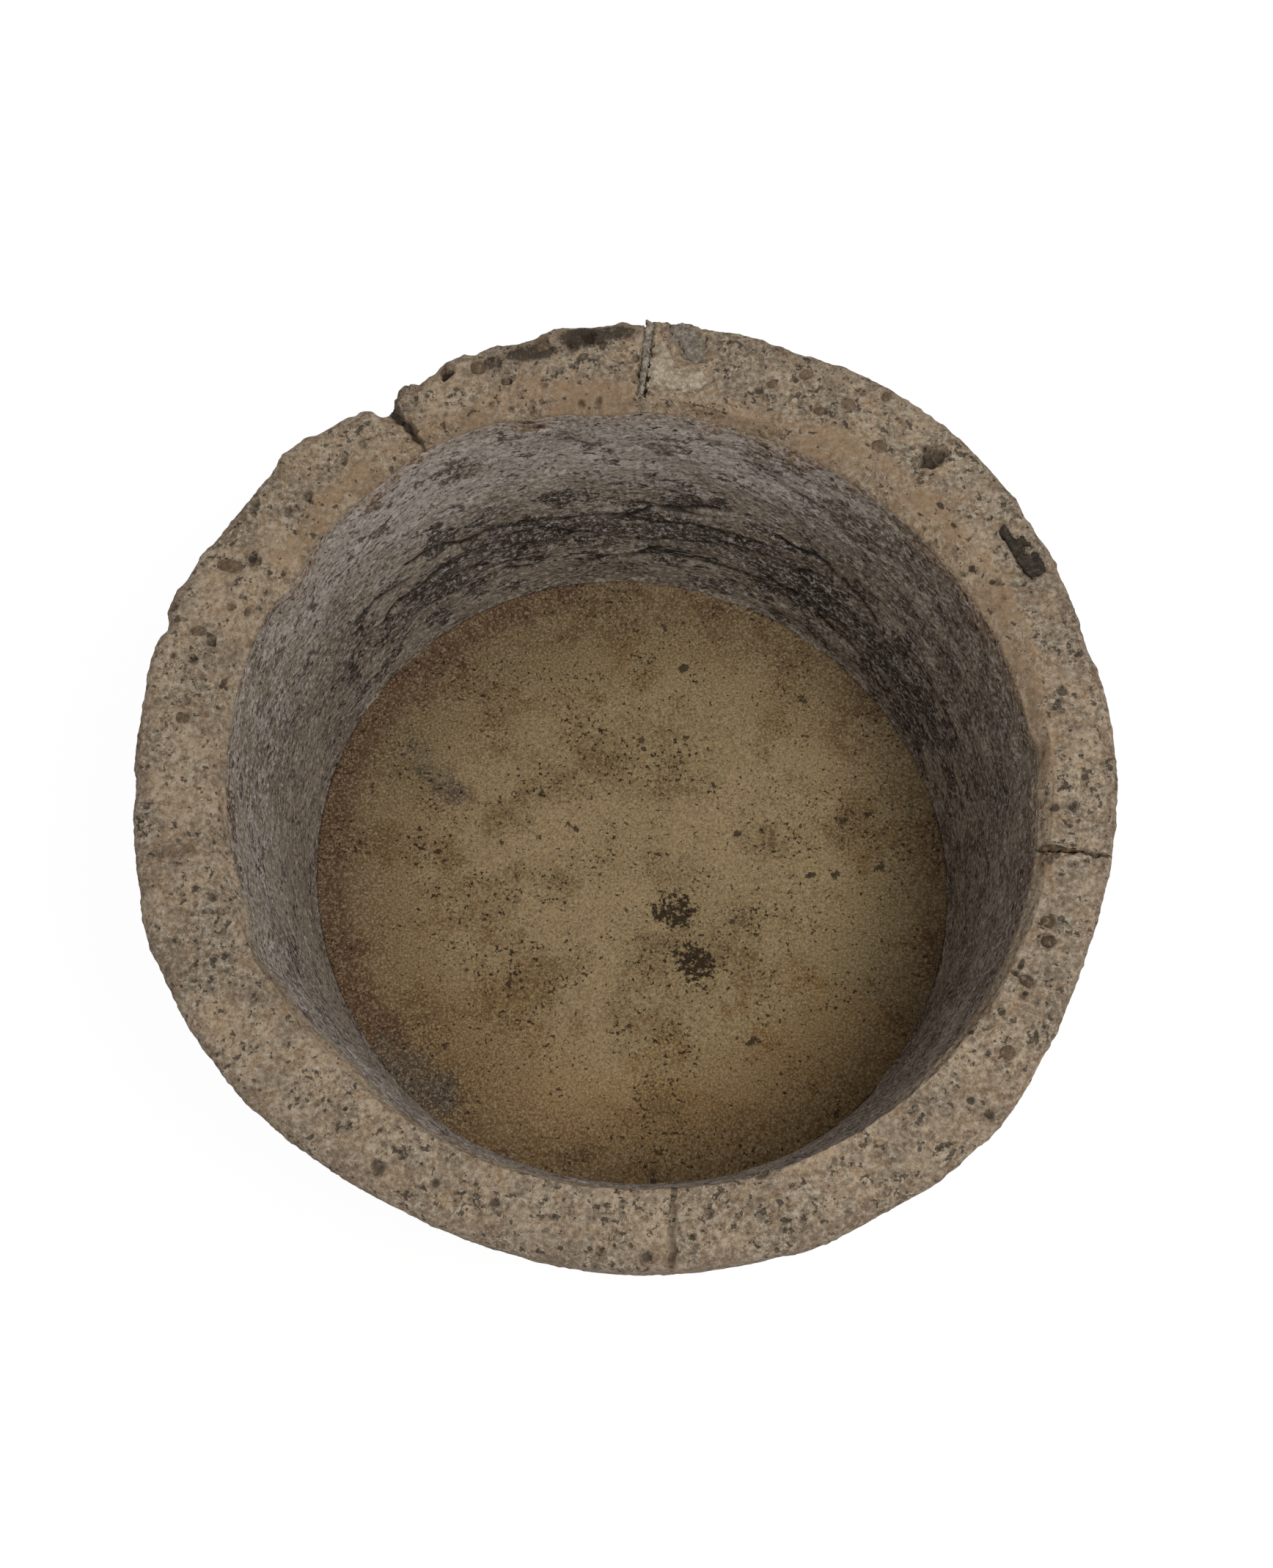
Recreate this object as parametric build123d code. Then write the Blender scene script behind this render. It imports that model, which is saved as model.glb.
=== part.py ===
from build123d import *
from math import cos, hypot, radians, sin
import os

# Round carved stone trough, open at the top, standing on its flat foot.
# Millimetres. X runs to the right, Y to the back and Z up, with the foot on Z = 0.
# A direction is an angle in degrees from +X towards +Y, seen from above.
# A place across the rim is a share: 0 at the basin's edge, 1 at the outer edge.

os.makedirs("parts", exist_ok=True)

# The block
height = 430.0
outer_radius = 452.0
foot_draw_in = 44.0      # how much smaller the radius is at the foot than at the rim
belly = 4.0              # how far the wall swells past a straight taper, half way up
rim_round = 13.0         # worn outer arris
foot_round = 20.0
# Hand-cut outline: waves round the wall, amount in mm, and where the first crest lies
outer_waves = [
    (1, 5.0, 308),
    (2, 1.9, 81),
    (3, 6.1, 62),
    (4, 1.4, 38),
    (5, 2.0, 8),
    (6, 1.1, 35),
    (7, 1.9, 49),
    (8, 1.3, 0),
]
ring_points = 32
ring_pieces = 8          # each outline is laid down in this many curves

# The basin
rim_width = 82.0         # mean thickness of the wall at the rim
basin_radius = outer_radius - rim_width
basin_centre = (5.0, -11.0)
basin_waves = [(2, 6.7, 131), (3, 1.0, 15)]
lip_width = 12.0         # mean width of the slope worn from the rim down to the wall
lip_drop = 18.0
lip_shift = (0.0, 9.0)   # the slope is widest at the back and dies out at the front
basin_depth = 367.0      # rim to the stone bottom, under the bed
wall_draw_in = 34.0      # radius lost on the way down
corner_round = 38.0      # hollow corner where the wall meets the bottom

# The bed on the bottom, with a dish and one hole worn into it
bed_thickness = 22.0
bed_dish = 4.0
worn_centre = (70.0, -67.0)
worn_radius = 52.0
worn_depth = 8.0

# Cuts across the rim: from (direction, share) to (direction, share), then
# the width and the depth at each of the two ends
right_crack = ((347.8, -0.2), (348.2, 1.15), (6.0, 1.6), (9.0, 5.0))
front_cut = ((275.5, -0.1), (275.0, 1.15), (6.0, 9.0), (5.0, 9.0))
back_crack = ((88.5, -0.15), (87.2, 0.75), (2.0, 2.4), (12.0, 7.0))
left_cut = ((192.0, 0.30), (191.7, 0.80), (9.0, 7.0), (7.0, 4.0))
left_top_notch = ((121.6, -0.45), (122.8, 1.30), (6.0, 20.0), (6.0, 17.0))

# Filled joints: the same measures, for the slot that the filling lies in
back_joint = ((88.6, -0.15), (87.0, 1.15), (8.0, 15.0), (9.0, 9.0))
right_joint = ((347.8, -0.12), (348.3, 0.42), (7.5, 5.5), (10.0, 8.0))
right_joint_sunk = 2.0   # the filling in the crack lies below the rim

# Chip knocked off the outer arris at the back left
chip_direction = 118.5
chip_bite = 13.0
chip_radius = 52.0

# Deep pits in the rim: direction, share, radius, depth
rim_pits = [
    (46.3, 0.54, 10.5, 13.0),
    (113.8, 0.80, 5.5, 11.0),
    (272.4, 0.81, 5.0, 6.0),
    (163.1, 0.28, 4.5, 5.0),
    (353.7, 0.30, 4.0, 5.0),
    (324.7, 0.18, 5.0, 5.0),
]

# Pebbles bedded in the stone: direction, share, then length and width against
# the common size, and the turn of the long side
pebble_size = 13.0
rim_pebbles = [
    (109.8, 0.69, 1.15, 1.10, 0),
    (100.9, 0.72, 1.15, 0.90, 20),
    (107.1, 0.29, 0.65, 0.60, 0),
    (152.6, 0.48, 2.20, 1.10, -15),
    (162.2, 0.50, 1.00, 0.75, 12),
    (174.1, 0.41, 1.15, 1.00, -20),
    (70.2, 0.38, 1.00, 0.70, 8),
    (66.3, 0.66, 1.10, 0.90, 30),
    (59.6, 0.53, 1.15, 1.00, 0),
    (55.9, 0.84, 0.95, 0.75, 60),
    (62.8, 0.28, 0.85, 0.65, 0),
    (53.1, 0.25, 1.30, 1.10, 25),
    (335.7, 0.33, 1.10, 0.75, -15),
    (329.8, 0.27, 1.15, 0.75, -35),
    (321.1, 0.52, 1.15, 1.00, 40),
    (338.1, 0.23, 1.00, 0.90, 0),
]
pebble_depth = 6.0
pebble_foot_share = 0.55 # size of a pebble's underside against its top

# Flush patches: direction and share of a place on the rim, how far clockwise of it
# the middle lies, the depth, and the corners from the middle
back_joint_direction = 88.0
dark_clast = (29.3, 0.66, 0.0, 9.0, [
    (-20, 25), (-15, 27), (-13, 20), (-6, 11), (0, 15), (7, 5), (1, 3), (2, -3), (6, -4),
    (10, -1), (14, -3), (17, -10), (21, -19), (20, -23), (7, -30), (-2, -22), (-10, -5), (-22, 19),
])
mortar_patch = (back_joint_direction, 0.63, 44.0, 6.0, [
    (-19, 22), (3, 22), (16, 0), (17, -20), (3, -21), (-6, -13), (-8, -2), (-17, 8),
])
lime_patch = (back_joint_direction, 0.26, 31.0, 6.0, [
    (-27, 3), (-21, 19), (-15, 33), (-9, 31), (-4, 11), (3, -2), (18, 3),
    (32, -1), (36, -13), (18, -26), (-4, -22), (-22, -23), (-28, -16),
])

over = 3.0               # how far a cutter stands out of what it cuts


def wave_reach(mean, waves, direction):
    return mean + sum(amount * cos(radians(count * (direction - crest))) for count, amount, crest in waves)


def ring(mean, waves, centre, level):
    """Level face inside one wavy outline."""
    points = []
    for step in range(ring_points):
        direction = 360 * step / ring_points
        reach = wave_reach(mean, waves, direction)
        points.append((
            centre[0] + reach * cos(radians(direction)),
            centre[1] + reach * sin(radians(direction)),
            level,
        ))
    line = Spline(points, periodic=True)
    curves = [line.trim(piece / ring_pieces, (piece + 1) / ring_pieces) for piece in range(ring_pieces)]
    return Face(Wire(curves))


def outer_radius_at(level):
    """Radius of the outer wall between the two worn edges."""
    share = (height - level) / height
    return outer_radius - foot_draw_in * share + 4 * belly * share * (1 - share)


def outer_block():
    """Solid block: two rounded edges and the swelling wall between them."""
    rings = []
    for turn in (0, 30, 60, 90):
        drop = foot_round * (1 - cos(radians(turn)))
        back = foot_round * (1 - sin(radians(turn)))
        rings.append((drop, outer_radius_at(drop) - back))
    for share in (0.35, 0.65):
        rings.append((height * share, outer_radius_at(height * share)))
    for turn in (90, 60, 30, 0):
        drop = rim_round * (1 - cos(radians(turn)))
        back = rim_round * (1 - sin(radians(turn)))
        rings.append((height - drop, outer_radius_at(height - drop) - back))
    return loft([ring(radius, outer_waves, (0, 0), level) for level, radius in rings], ruled=True)


def lip_cutter():
    """The worn slope between the rim and the basin's wall, carried on above the rim."""
    wall_top = height - lip_drop
    rise = (lip_drop + over) / lip_drop
    centre = (basin_centre[0] + lip_shift[0] * rise, basin_centre[1] + lip_shift[1] * rise)
    low = ring(basin_radius, basin_waves, basin_centre, wall_top)
    high = ring(basin_radius + lip_width * rise, basin_waves, centre, height + over)
    return loft([low, high], ruled=True)


def basin_cutter():
    """The hollow under the lip: a slightly bulging wall and a round inner corner."""
    wall_top = height - lip_drop
    bottom = height - basin_depth
    corner_top = bottom + corner_round
    rings = []
    for turn in (0, 30, 60, 90):
        lift = corner_round * (1 - cos(radians(turn)))
        back = corner_round * (1 - sin(radians(turn)))
        rings.append((bottom + lift, basin_radius - wall_draw_in - back))
    for share, drawn in ((0.30, 0.86), (0.60, 0.52), (1.00, 0.0)):
        rings.append((corner_top + (wall_top - corner_top) * share, basin_radius - wall_draw_in * drawn))
    return loft([ring(radius, basin_waves, basin_centre, level) for level, radius in rings], ruled=True)


def across_rim(direction, share):
    """Point on the rim between the basin's edge and the outer edge."""
    lip_reach = wave_reach(basin_radius + lip_width, basin_waves, direction)
    outer_reach = wave_reach(outer_radius, outer_waves, direction)
    inner_x = basin_centre[0] + lip_shift[0] + lip_reach * cos(radians(direction))
    inner_y = basin_centre[1] + lip_shift[1] + lip_reach * sin(radians(direction))
    outer_x = outer_reach * cos(radians(direction))
    outer_y = outer_reach * sin(radians(direction))
    return Vector(inner_x + (outer_x - inner_x) * share, inner_y + (outer_y - inner_y) * share, height)


def vee(start, end, widths, depths):
    """V-shaped cutter along the rim's top, from one place across the rim to another."""
    first = across_rim(*start)
    last = across_rim(*end)
    along = (last - first).normalized()
    aside = Vector(-along.Y, along.X, 0)
    up = Vector(0, 0, 1)
    ends = []
    for point, width, depth in ((first, widths[0], depths[0]), (last, widths[1], depths[1])):
        half_top = width / 2 * (depth + over) / depth
        corners = [point + aside * half_top + up * over, point - aside * half_top + up * over, point - up * depth]
        ends.append(Face(Wire.make_polygon(corners)))
    return loft(ends, ruled=True)


def pebble_cutter(direction, share, length, width, turn):
    """Oval plug that narrows downwards, standing through the rim's top."""
    place = Plane(across_rim(direction, share)).rotated((0, 0, turn))
    ovals = []
    for level, size in ((over, 1.0), (0, 1.0), (-pebble_depth, pebble_foot_share)):
        half = pebble_size / 2 * size
        ovals.append(place.offset(level) * Ellipse(half * length, half * width))
    return loft(ovals, ruled=True)


def patch_cutter(direction, share, clockwise, depth, corners):
    """Flat-bottomed plug with an angular outline."""
    beside = Vector(sin(radians(direction)), -cos(radians(direction)), 0)
    middle = across_rim(direction, share) + beside * clockwise
    points = [middle + Vector(x, y, -depth) for x, y in corners]
    return extrude(Face(Wire.make_polygon(points)), amount=depth + over, dir=(0, 0, 1))


def chip_cutter():
    """Ball that bites the shell-shaped chip out of the outer arris."""
    edge = across_rim(chip_direction, 1)
    away = edge - Vector(0, 0, height)
    centre = edge + away.normalized() * (chip_radius - chip_bite)
    return Pos(centre.X, centre.Y, centre.Z) * Sphere(chip_radius)


def pit_cutter(direction, share, radius, depth):
    """Ball sunk in the rim so that its mouth has the given radius."""
    ball = (radius * radius + depth * depth) / (2 * depth)
    centre = across_rim(direction, share)
    return Pos(centre.X, centre.Y, height - depth + ball) * Sphere(ball)


def floor_bed(hollow):
    """Bed that fills the bottom of the hollow, dished, with a worn hole."""
    bottom = height - basin_depth
    top = bottom + bed_thickness
    reach = basin_radius + lip_width
    slab = Pos(basin_centre[0], basin_centre[1], bottom) * Cylinder(
        reach, bed_thickness, align=(Align.CENTER, Align.CENTER, Align.MIN))
    bed = hollow & slab
    dish_radius = (reach * reach + bed_dish * bed_dish) / (2 * bed_dish)
    middle = Pos(basin_centre[0], basin_centre[1], top - bed_dish + dish_radius)
    worn_ball = (worn_radius * worn_radius + worn_depth * worn_depth) / (2 * worn_depth)
    worn_level = top - bed_dish * (1 - (hypot(*worn_centre) / reach) ** 2)
    worn = Pos(worn_centre[0], worn_centre[1], worn_level - worn_depth + worn_ball) * Sphere(worn_ball)
    return bed - middle * Sphere(dish_radius) - worn


def trough():
    """Every piece of the trough, under its node's name."""
    hollow = basin_cutter()
    raw = outer_block() - lip_cutter() - hollow
    cuts = [vee(*cut) for cut in (front_cut, left_cut, left_top_notch, back_crack)]
    cuts.append(chip_cutter())
    cuts.extend(pit_cutter(*pit) for pit in rim_pits)
    raw = raw - cuts

    seats = {
        "back_joint_mortar": [vee(*back_joint)],
        "right_crack_filling": [vee(*right_joint)],
        "dark_clast": [patch_cutter(*dark_clast)],
        "back_mortar_patch": [patch_cutter(*mortar_patch)],
        "back_lime_patch": [patch_cutter(*lime_patch)],
        "rim_pebbles": [pebble_cutter(*pebble) for pebble in rim_pebbles],
    }
    pieces = {}
    block = raw
    for node, cutters in seats.items():
        pieces[node] = [block & cutter for cutter in cutters]
        block = block - cutters
    sunk = Plane.XY.offset(height - right_joint_sunk)
    filling = pieces["right_crack_filling"][0]
    pieces["right_crack_filling"] = [split(filling, sunk, keep=Keep.BOTTOM)]
    pieces["trough_block"] = [block - (vee(*right_crack) - vee(*right_joint))]
    pieces["floor_bed"] = [floor_bed(hollow)]
    return pieces


def solids_of(piece):
    return [solid for shape in piece for solid in shape.solids()]


pieces = trough()
middle = pieces["trough_block"][0].bounding_box().center()
for node, piece in pieces.items():
    placed = [Pos(-middle.X, -middle.Y, 0) * solid for solid in solids_of(piece)]
    shape = placed[0] if len(placed) == 1 else Compound(placed)
    export_step(shape, f"parts/{node}.step")
    print(node, len(placed), "solids", round(sum(solid.volume for solid in placed) / 1000, 1), "cm3")
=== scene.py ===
import math

import bmesh
import bpy
import numpy as np
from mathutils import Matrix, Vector


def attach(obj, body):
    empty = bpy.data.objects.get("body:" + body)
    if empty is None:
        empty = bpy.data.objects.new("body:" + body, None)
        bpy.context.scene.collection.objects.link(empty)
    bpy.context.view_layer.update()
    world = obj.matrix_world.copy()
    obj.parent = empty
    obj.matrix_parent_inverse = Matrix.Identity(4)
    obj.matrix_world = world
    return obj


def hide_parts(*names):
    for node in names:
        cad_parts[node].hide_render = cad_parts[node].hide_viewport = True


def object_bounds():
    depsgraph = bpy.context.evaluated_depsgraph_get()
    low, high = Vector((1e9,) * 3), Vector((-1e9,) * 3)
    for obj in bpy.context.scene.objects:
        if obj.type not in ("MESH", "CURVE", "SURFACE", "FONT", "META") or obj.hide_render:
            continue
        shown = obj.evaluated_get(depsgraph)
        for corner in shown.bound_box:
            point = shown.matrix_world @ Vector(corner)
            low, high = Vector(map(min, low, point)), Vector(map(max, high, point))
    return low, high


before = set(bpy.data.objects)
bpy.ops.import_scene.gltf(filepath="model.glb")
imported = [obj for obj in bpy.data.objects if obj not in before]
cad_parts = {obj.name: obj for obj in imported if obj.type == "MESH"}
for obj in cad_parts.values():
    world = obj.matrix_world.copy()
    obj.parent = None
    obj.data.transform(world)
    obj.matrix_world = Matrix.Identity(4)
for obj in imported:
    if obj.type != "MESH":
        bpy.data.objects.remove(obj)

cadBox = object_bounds()
mm = 0.001

# Sizes in millimetres: the main ones are the CAD's, and the knocks are the scene's own. X runs right, Y
# back, Z up. A direction is in degrees from +X towards +Y, seen from above, and a share across the rim
# is 0 at the basin's edge and 1 outside.
block = {
    "height": 430.0,
    "outerRadius": 452.0,
    "footDrawIn": 44.0,
    "belly": 4.0,
    "rimRound": 13.0,
    "footRound": 20.0,
    # slow waves of the outline: how many, how high, and the direction of one crest
    "waves": [(1, 5.0, 308), (2, 1.9, 81), (3, 6.1, 62), (4, 1.4, 38), (5, 2.0, 8), (6, 1.1, 35),
        (7, 1.9, 49), (8, 1.3, 0)],
    # knocks and swellings of the outline: start, full from, full to, end, amount, how far down
    "knocks": [
        (12, 15, 16, 19, -3.0, 80), (24, 26, 28, 30, 2.5, 80), (33, 35, 36, 39, 1.5, 120),
        (54, 56, 62, 64, 2.0, 120), (66.5, 67.5, 68.5, 69.5, -2.0, 60), (71, 73, 76, 79, 2.5, 90),
        (80.5, 82, 83, 84, 3.0, 30), (84, 85, 86.5, 87.3, 2.5, 30), (86.6, 87.2, 88.5, 90, -3.0, 30),
        (90, 92, 94, 96, -2.5, 60), (96, 98, 99, 100.5, 3.5, 40), (100.3, 102, 103.5, 105.6, -4.0, 50),
        (105.4, 106.5, 108.5, 110, 2.8, 60), (109, 111, 113, 115.5, 6.3, 50),
        (115.6, 116.8, 117.2, 118.2, -3.0, 25), (118, 118.8, 119.3, 120.2, 3.0, 20),
        (119.8, 121, 121.5, 122.5, -5.0, 40), (121, 122.6, 123.2, 125.2, -19.0, 60),
        (126, 128, 131, 133, 2.5, 90), (131.2, 133.2, 136.5, 140, 9.0, 110), (140, 144, 150, 153, -4.0, 90),
        (156, 158, 161, 163, 3.5, 90), (161, 162, 163, 164, -4.0, 30), (163.5, 165, 169, 171, 2.5, 90),
        (181, 182, 184, 187, -2.5, 120), (196, 199, 202, 206, 3.0, 160), (286, 289, 292, 295, 2.5, 160),
        (296, 299, 302, 305, -2.5, 150), (311, 314, 317, 321, 2.0, 150), (345, 346, 347, 348, 2.0, 40),
    ],
    "offset": (-0.35, 1.63),     # where the block's own centre puts the origin
}
basin = {
    "rimWidth": 82.0,
    "centre": (5.0, -11.0),
    "waves": [(2, 6.7, 131), (3, 1.0, 15)],
    "lipWidth": 12.0,
    "lipDrop": 18.0,
    "lipShift": (0.0, 9.0),
    "depth": 367.0,
    "wallDrawIn": 34.0,
    "cornerRound": 38.0,
    # knocks of the lip's edge and of the wall: start, full from, full to, end, amount
    "lipKnocks": [(8, 18, 58, 64, 9.0), (62, 72, 80, 98, -15.0), (98, 104, 108, 114, 11.0),
        (186, 192, 198, 204, 5.0)],
    "wallKnocks": [
        (359, 362, 364, 367, 4.0), (104, 110, 122, 130, 6.0), (143, 147, 150, 155, -6.0),
        (200, 205, 208, 214, 7.0), (219, 224, 228, 235, -4.0), (88, 92, 96, 100, -4.0),
        (278, 284, 304, 312, 3.0),
    ],
    "crustThickness": 3.0,
}

# V-shaped cuts across the rim: start, end, widths and depths at both, and how dark their bottom is
cuts = {
    "rightCrack": ((347.8, -0.2), (348.2, 1.15), (5.0, 2.4), (8.0, 5.0), 1.0),
    "frontCut": ((275.5, -0.1), (275.0, 1.15), (6.0, 7.0), (4.5, 6.5), 0.5),
    "backCrack": ((88.0, -0.15), (86.75, 0.62), (2.4, 2.0), (12.0, 8.0), 1.0),
    "leftCut": ((192.0, 0.30), (191.7, 0.80), (10.0, 8.0), (6.0, 4.0), 0.35),
    "leftTopNotch": ((121.6, -0.45), (122.8, 1.30), (7.0, 14.0), (12.0, 17.0), 1.0),
}

# Rings of the carved block and of the wall crust
grid = {
    "points": 1440, "rimRings": 34, "lipRings": 10, "wallRings": 124,
    # outer wall: the top level of its lower and upper stretch, and how many rings each has
    "side": ((340, 26), (400, 8)),
    # levels and points of the rings that the crust hides, and of the crust's own back
    "hiddenWall": ((400, 720), (390, 360), (370, 180), (200, 180), (120, 180), (90, 180)),
    "hiddenFoot": 66.0,
    "crustBack": ((76, 720), (100, 360), (180, 360), (300, 360), (390, 360), (405, 720)), "crustFoot": 72,
    # how the points crowd: direction, spread and extra density
    "crowding": [(275.3, 1.1, 2.0), (348.0, 1.0, 2.5), (87.8, 1.6, 1.6), (191.8, 1.2, 1.0),
        (122.3, 2.0, 1.4)],
}


def reach(mean, waves, direction):
    total = mean
    for count, amount, crest in waves:
        total = total + amount * np.cos(np.radians(count * (direction - crest)))
    return total


def ramp(low, high, value):
    share = np.clip((value - low) / (high - low), 0, 1)
    return share * share * (3 - 2 * share)


def knock(direction, start, fullFrom, fullTo, end):
    # 1 between the two full directions, falling to 0 at both ends
    turn = (direction - start + 180) % 360 - 180 + start
    return np.minimum(ramp(start, fullFrom, turn), 1 - ramp(fullTo, end, turn))


def crowdedDirections():
    fine = np.linspace(0, 360, 20001)
    density = np.ones_like(fine)
    for middle, spread, extra in grid["crowding"]:
        away = (fine - middle + 180) % 360 - 180
        density += extra * np.exp(-(away / spread) ** 2)
    total = np.concatenate(([0], np.cumsum((density[1:] + density[:-1]) / 2)))
    return np.interp(np.arange(grid["points"]) / grid["points"] * total[-1], total, fine)


directions = crowdedDirections()


def around(count):
    return directions[:: grid["points"] // count]


def polar(centre, radius, direction, level):
    angle = np.radians(direction)
    level = np.broadcast_to(level, direction.shape)
    return np.column_stack((centre[0] + radius * np.cos(angle), centre[1] + radius * np.sin(angle), level))


def outerPoints(direction, level, back=0.0):
    share = (block["height"] - level) / block["height"]
    radius = reach(block["outerRadius"], block["waves"], direction)
    radius = radius - block["footDrawIn"] * share + 4 * block["belly"] * share * (1 - share) - back
    for start, fullFrom, fullTo, end, amount, down in block["knocks"]:
        fade = 1 - ramp(0, 1, (block["height"] - level) / down)
        radius = radius + amount * fade * knock(direction, start, fullFrom, fullTo, end)
    return polar((0, 0), radius, direction, level)


lipMean = block["outerRadius"] - basin["rimWidth"] + basin["lipWidth"]
lipCentre = (basin["centre"][0] + basin["lipShift"][0], basin["centre"][1] + basin["lipShift"][1])


def lipEdge(direction):
    radius = reach(lipMean, basin["waves"], direction)
    for start, fullFrom, fullTo, end, amount in basin["lipKnocks"]:
        radius = radius + amount * knock(direction, start, fullFrom, fullTo, end)
    return polar(lipCentre, radius, direction, block["height"])


def wallPoints(direction, level, back=0.0):
    # the basin's wall: a slight taper, then the round inner corner
    wallTop = block["height"] - basin["lipDrop"]
    bottom = block["height"] - basin["depth"]
    cornerTop = bottom + basin["cornerRound"]
    if level >= cornerTop:
        share = (level - cornerTop) / (wallTop - cornerTop)
        drawn = basin["wallDrawIn"] * (1 - 0.35 * share - 0.65 * share * share)
    else:
        dip = (cornerTop - level) / basin["cornerRound"]
        drawn = basin["wallDrawIn"] + basin["cornerRound"] * (1 - math.sqrt(max(0.0, 1 - dip * dip)))
        share = 0
    radius = reach(block["outerRadius"] - basin["rimWidth"], basin["waves"], direction) - drawn + back
    for start, fullFrom, fullTo, end, amount in basin["wallKnocks"]:
        radius = radius + amount * share ** 1.5 * knock(direction, start, fullFrom, fullTo, end)
    return polar(basin["centre"], radius, direction, level)


def acrossRim(direction, share):
    # the CAD's own place on the rim, without the knocks
    one = np.array([float(direction)])
    lip = polar(lipCentre, reach(lipMean, basin["waves"], one), one, 0)[0]
    outer = polar((0, 0), reach(block["outerRadius"], block["waves"], one), one, 0)[0]
    return (lip + (outer - lip) * share)[:2]


# Hollows of the rim: x, y, radius, depth, and how dark they are
hollows = [
    (289, 300, 9.0, 13, 1.0), (299, 307, 7.5, 12, 0.9), (287, 310, 5.0, 9, 0.8), (-172, 392, 5.5, 11, 1.0),
    (19, -443, 4.6, 6, 0.8), (-346, 118, 4.5, 5, 0.7), (404, -45, 4.0, 5, 0.8), (316, -230, 4.5, 4, 0.6),
    (-90, 357, 4.0, 4, 0.8), (-382, 116, 4.2, 5, 0.9), (-346, 197, 6.0, 4, 0.6), (72, -407, 3.2, 4, 0.8),
    (-210, -369, 4.5, 5, 0.8), (-20, -439, 4.0, 3, 0.4), (379, -94, 4.0, 3, 0.7), (386, -88, 3.5, 3, 0.7),
    (19, 395, 5.5, 5, 0.8), (26, 399, 4.0, 4, 0.7), (33, 393, 6.5, 5, 0.9), (55, 386, 4.5, 4, 0.8),
    (10, 409, 3.0, 3, 0.5), (-80, 428, 6.0, 4, 0.8), (-52, 421, 5.0, 4, 0.7), (-36, 431, 5.5, 4, 0.8),
    (-22, 424, 4.5, 4, 0.6), (228, 372, 3.5, 3, 0.6), (356, 222, 4.0, 4, 0.8), (346, 175, 3.5, 3, 0.7),
    (352, 160, 3.0, 3, 0.6), (-404, 58, 3.5, 3, 0.5), (-300, 262, 4.5, 4, 0.6), (-318, 246, 3.5, 3, 0.6),
    (-366, 150, 3.5, 3, 0.7), (-398, 98, 3.5, 3, 0.6), (-268, 300, 3.5, 3, 0.6), (-250, 318, 3.0, 3, 0.5),
    (118, -372, 5.0, 4, 0.8), (131, -366, 4.5, 3, 0.8), (144, -360, 4.5, 3, 0.7), (169, -348, 5.0, 4, 0.8),
    (156, -354, 4.0, 3, 0.6), (-420, 150, 4.0, 5, 0.8),
]
# Brown or nearly black stains: x, y, half length, half width, turn, strength
stains = [
    (374, -169, 8, 5.5, 20, 0.9), (353, -205, 7.5, 6, -30, 0.9), (344, -198, 5, 4, 0, 0.8),
    (352, -216, 4, 3, 0, 0.8), (330, -233, 5, 4, 30, 0.8), (302, -250, 4, 3, 0, 0.9),
    (387, -45, 8, 6, 0, 0.7), (349, -190, 4, 9, -25, 0.7), (-88, 415, 36, 12, 8, 0.8),
    (-40, 432, 34, 15, 4, 0.85), (-128, 404, 18, 10, 20, 0.6), (-8, 436, 28, 12, 0, 0.7),
    (62, 425, 26, 12, -10, 0.3), (-346, 190, 10, 6, -50, 0.5), (120, 416, 18, 9, -20, 0.35),
    (160, 402, 22, 8, -22, 0.35), (200, 384, 24, 14, -30, 0.38), (160, 400, 20, 14, -25, 0.38),
    (299, -310, 5, 4, 0, 1.0), (297, 253, 6, 4, -50, 1.0), (309, 232, 5, 3, -50, 0.9),
    (324, 190, 5, 4, -60, 1.0), (342, 175, 4, 3, 0, 1.0), (326, 149, 6, 4, -70, 0.9),
    (345, 120, 20, 7, -70, 0.45), (240, 360, 14, 8, -35, 0.35), (-410, -60, 16, 9, 80, 0.25),
    (-400, -95, 18, 10, 75, 0.3),
]
pebbles = [
    # direction, share across the rim, length and width against the usual size, turn, how dark
    (109.8, 0.69, 1.15, 1.10, 0, 0.4), (100.9, 0.72, 1.15, 0.90, 20, 0.6),
    (107.1, 0.29, 0.65, 0.60, 0, 0.5), (152.6, 0.48, 2.20, 1.10, -15, 0.35),
    (162.2, 0.50, 1.00, 0.75, 12, 0.3), (174.1, 0.41, 1.15, 1.00, -20, 0.5),
    (70.2, 0.38, 1.00, 0.70, 8, 0.2), (66.3, 0.66, 1.10, 0.90, 30, 0.1), (59.6, 0.53, 1.15, 1.00, 0, 0.0),
    (55.9, 0.84, 0.95, 0.75, 60, 0.3), (62.8, 0.28, 0.85, 0.65, 0, 0.4), (53.1, 0.25, 1.30, 1.10, 25, 0.1),
    (335.7, 0.33, 1.10, 0.75, -15, 1.0), (329.8, 0.27, 1.15, 0.75, -35, 1.0),
    (321.1, 0.52, 1.15, 1.00, 40, 0.5), (338.1, 0.23, 1.00, 0.90, 0, 1.0),
]
pebbleSize = 13.0
pebbleHalfHeight, pebbleSunk = 3.4, 4.6
# rounded nubs left standing beside the notch: x, y, radius
nubs = [(-212, 364, 10.5), (-203, 381, 6.5)]
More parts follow.
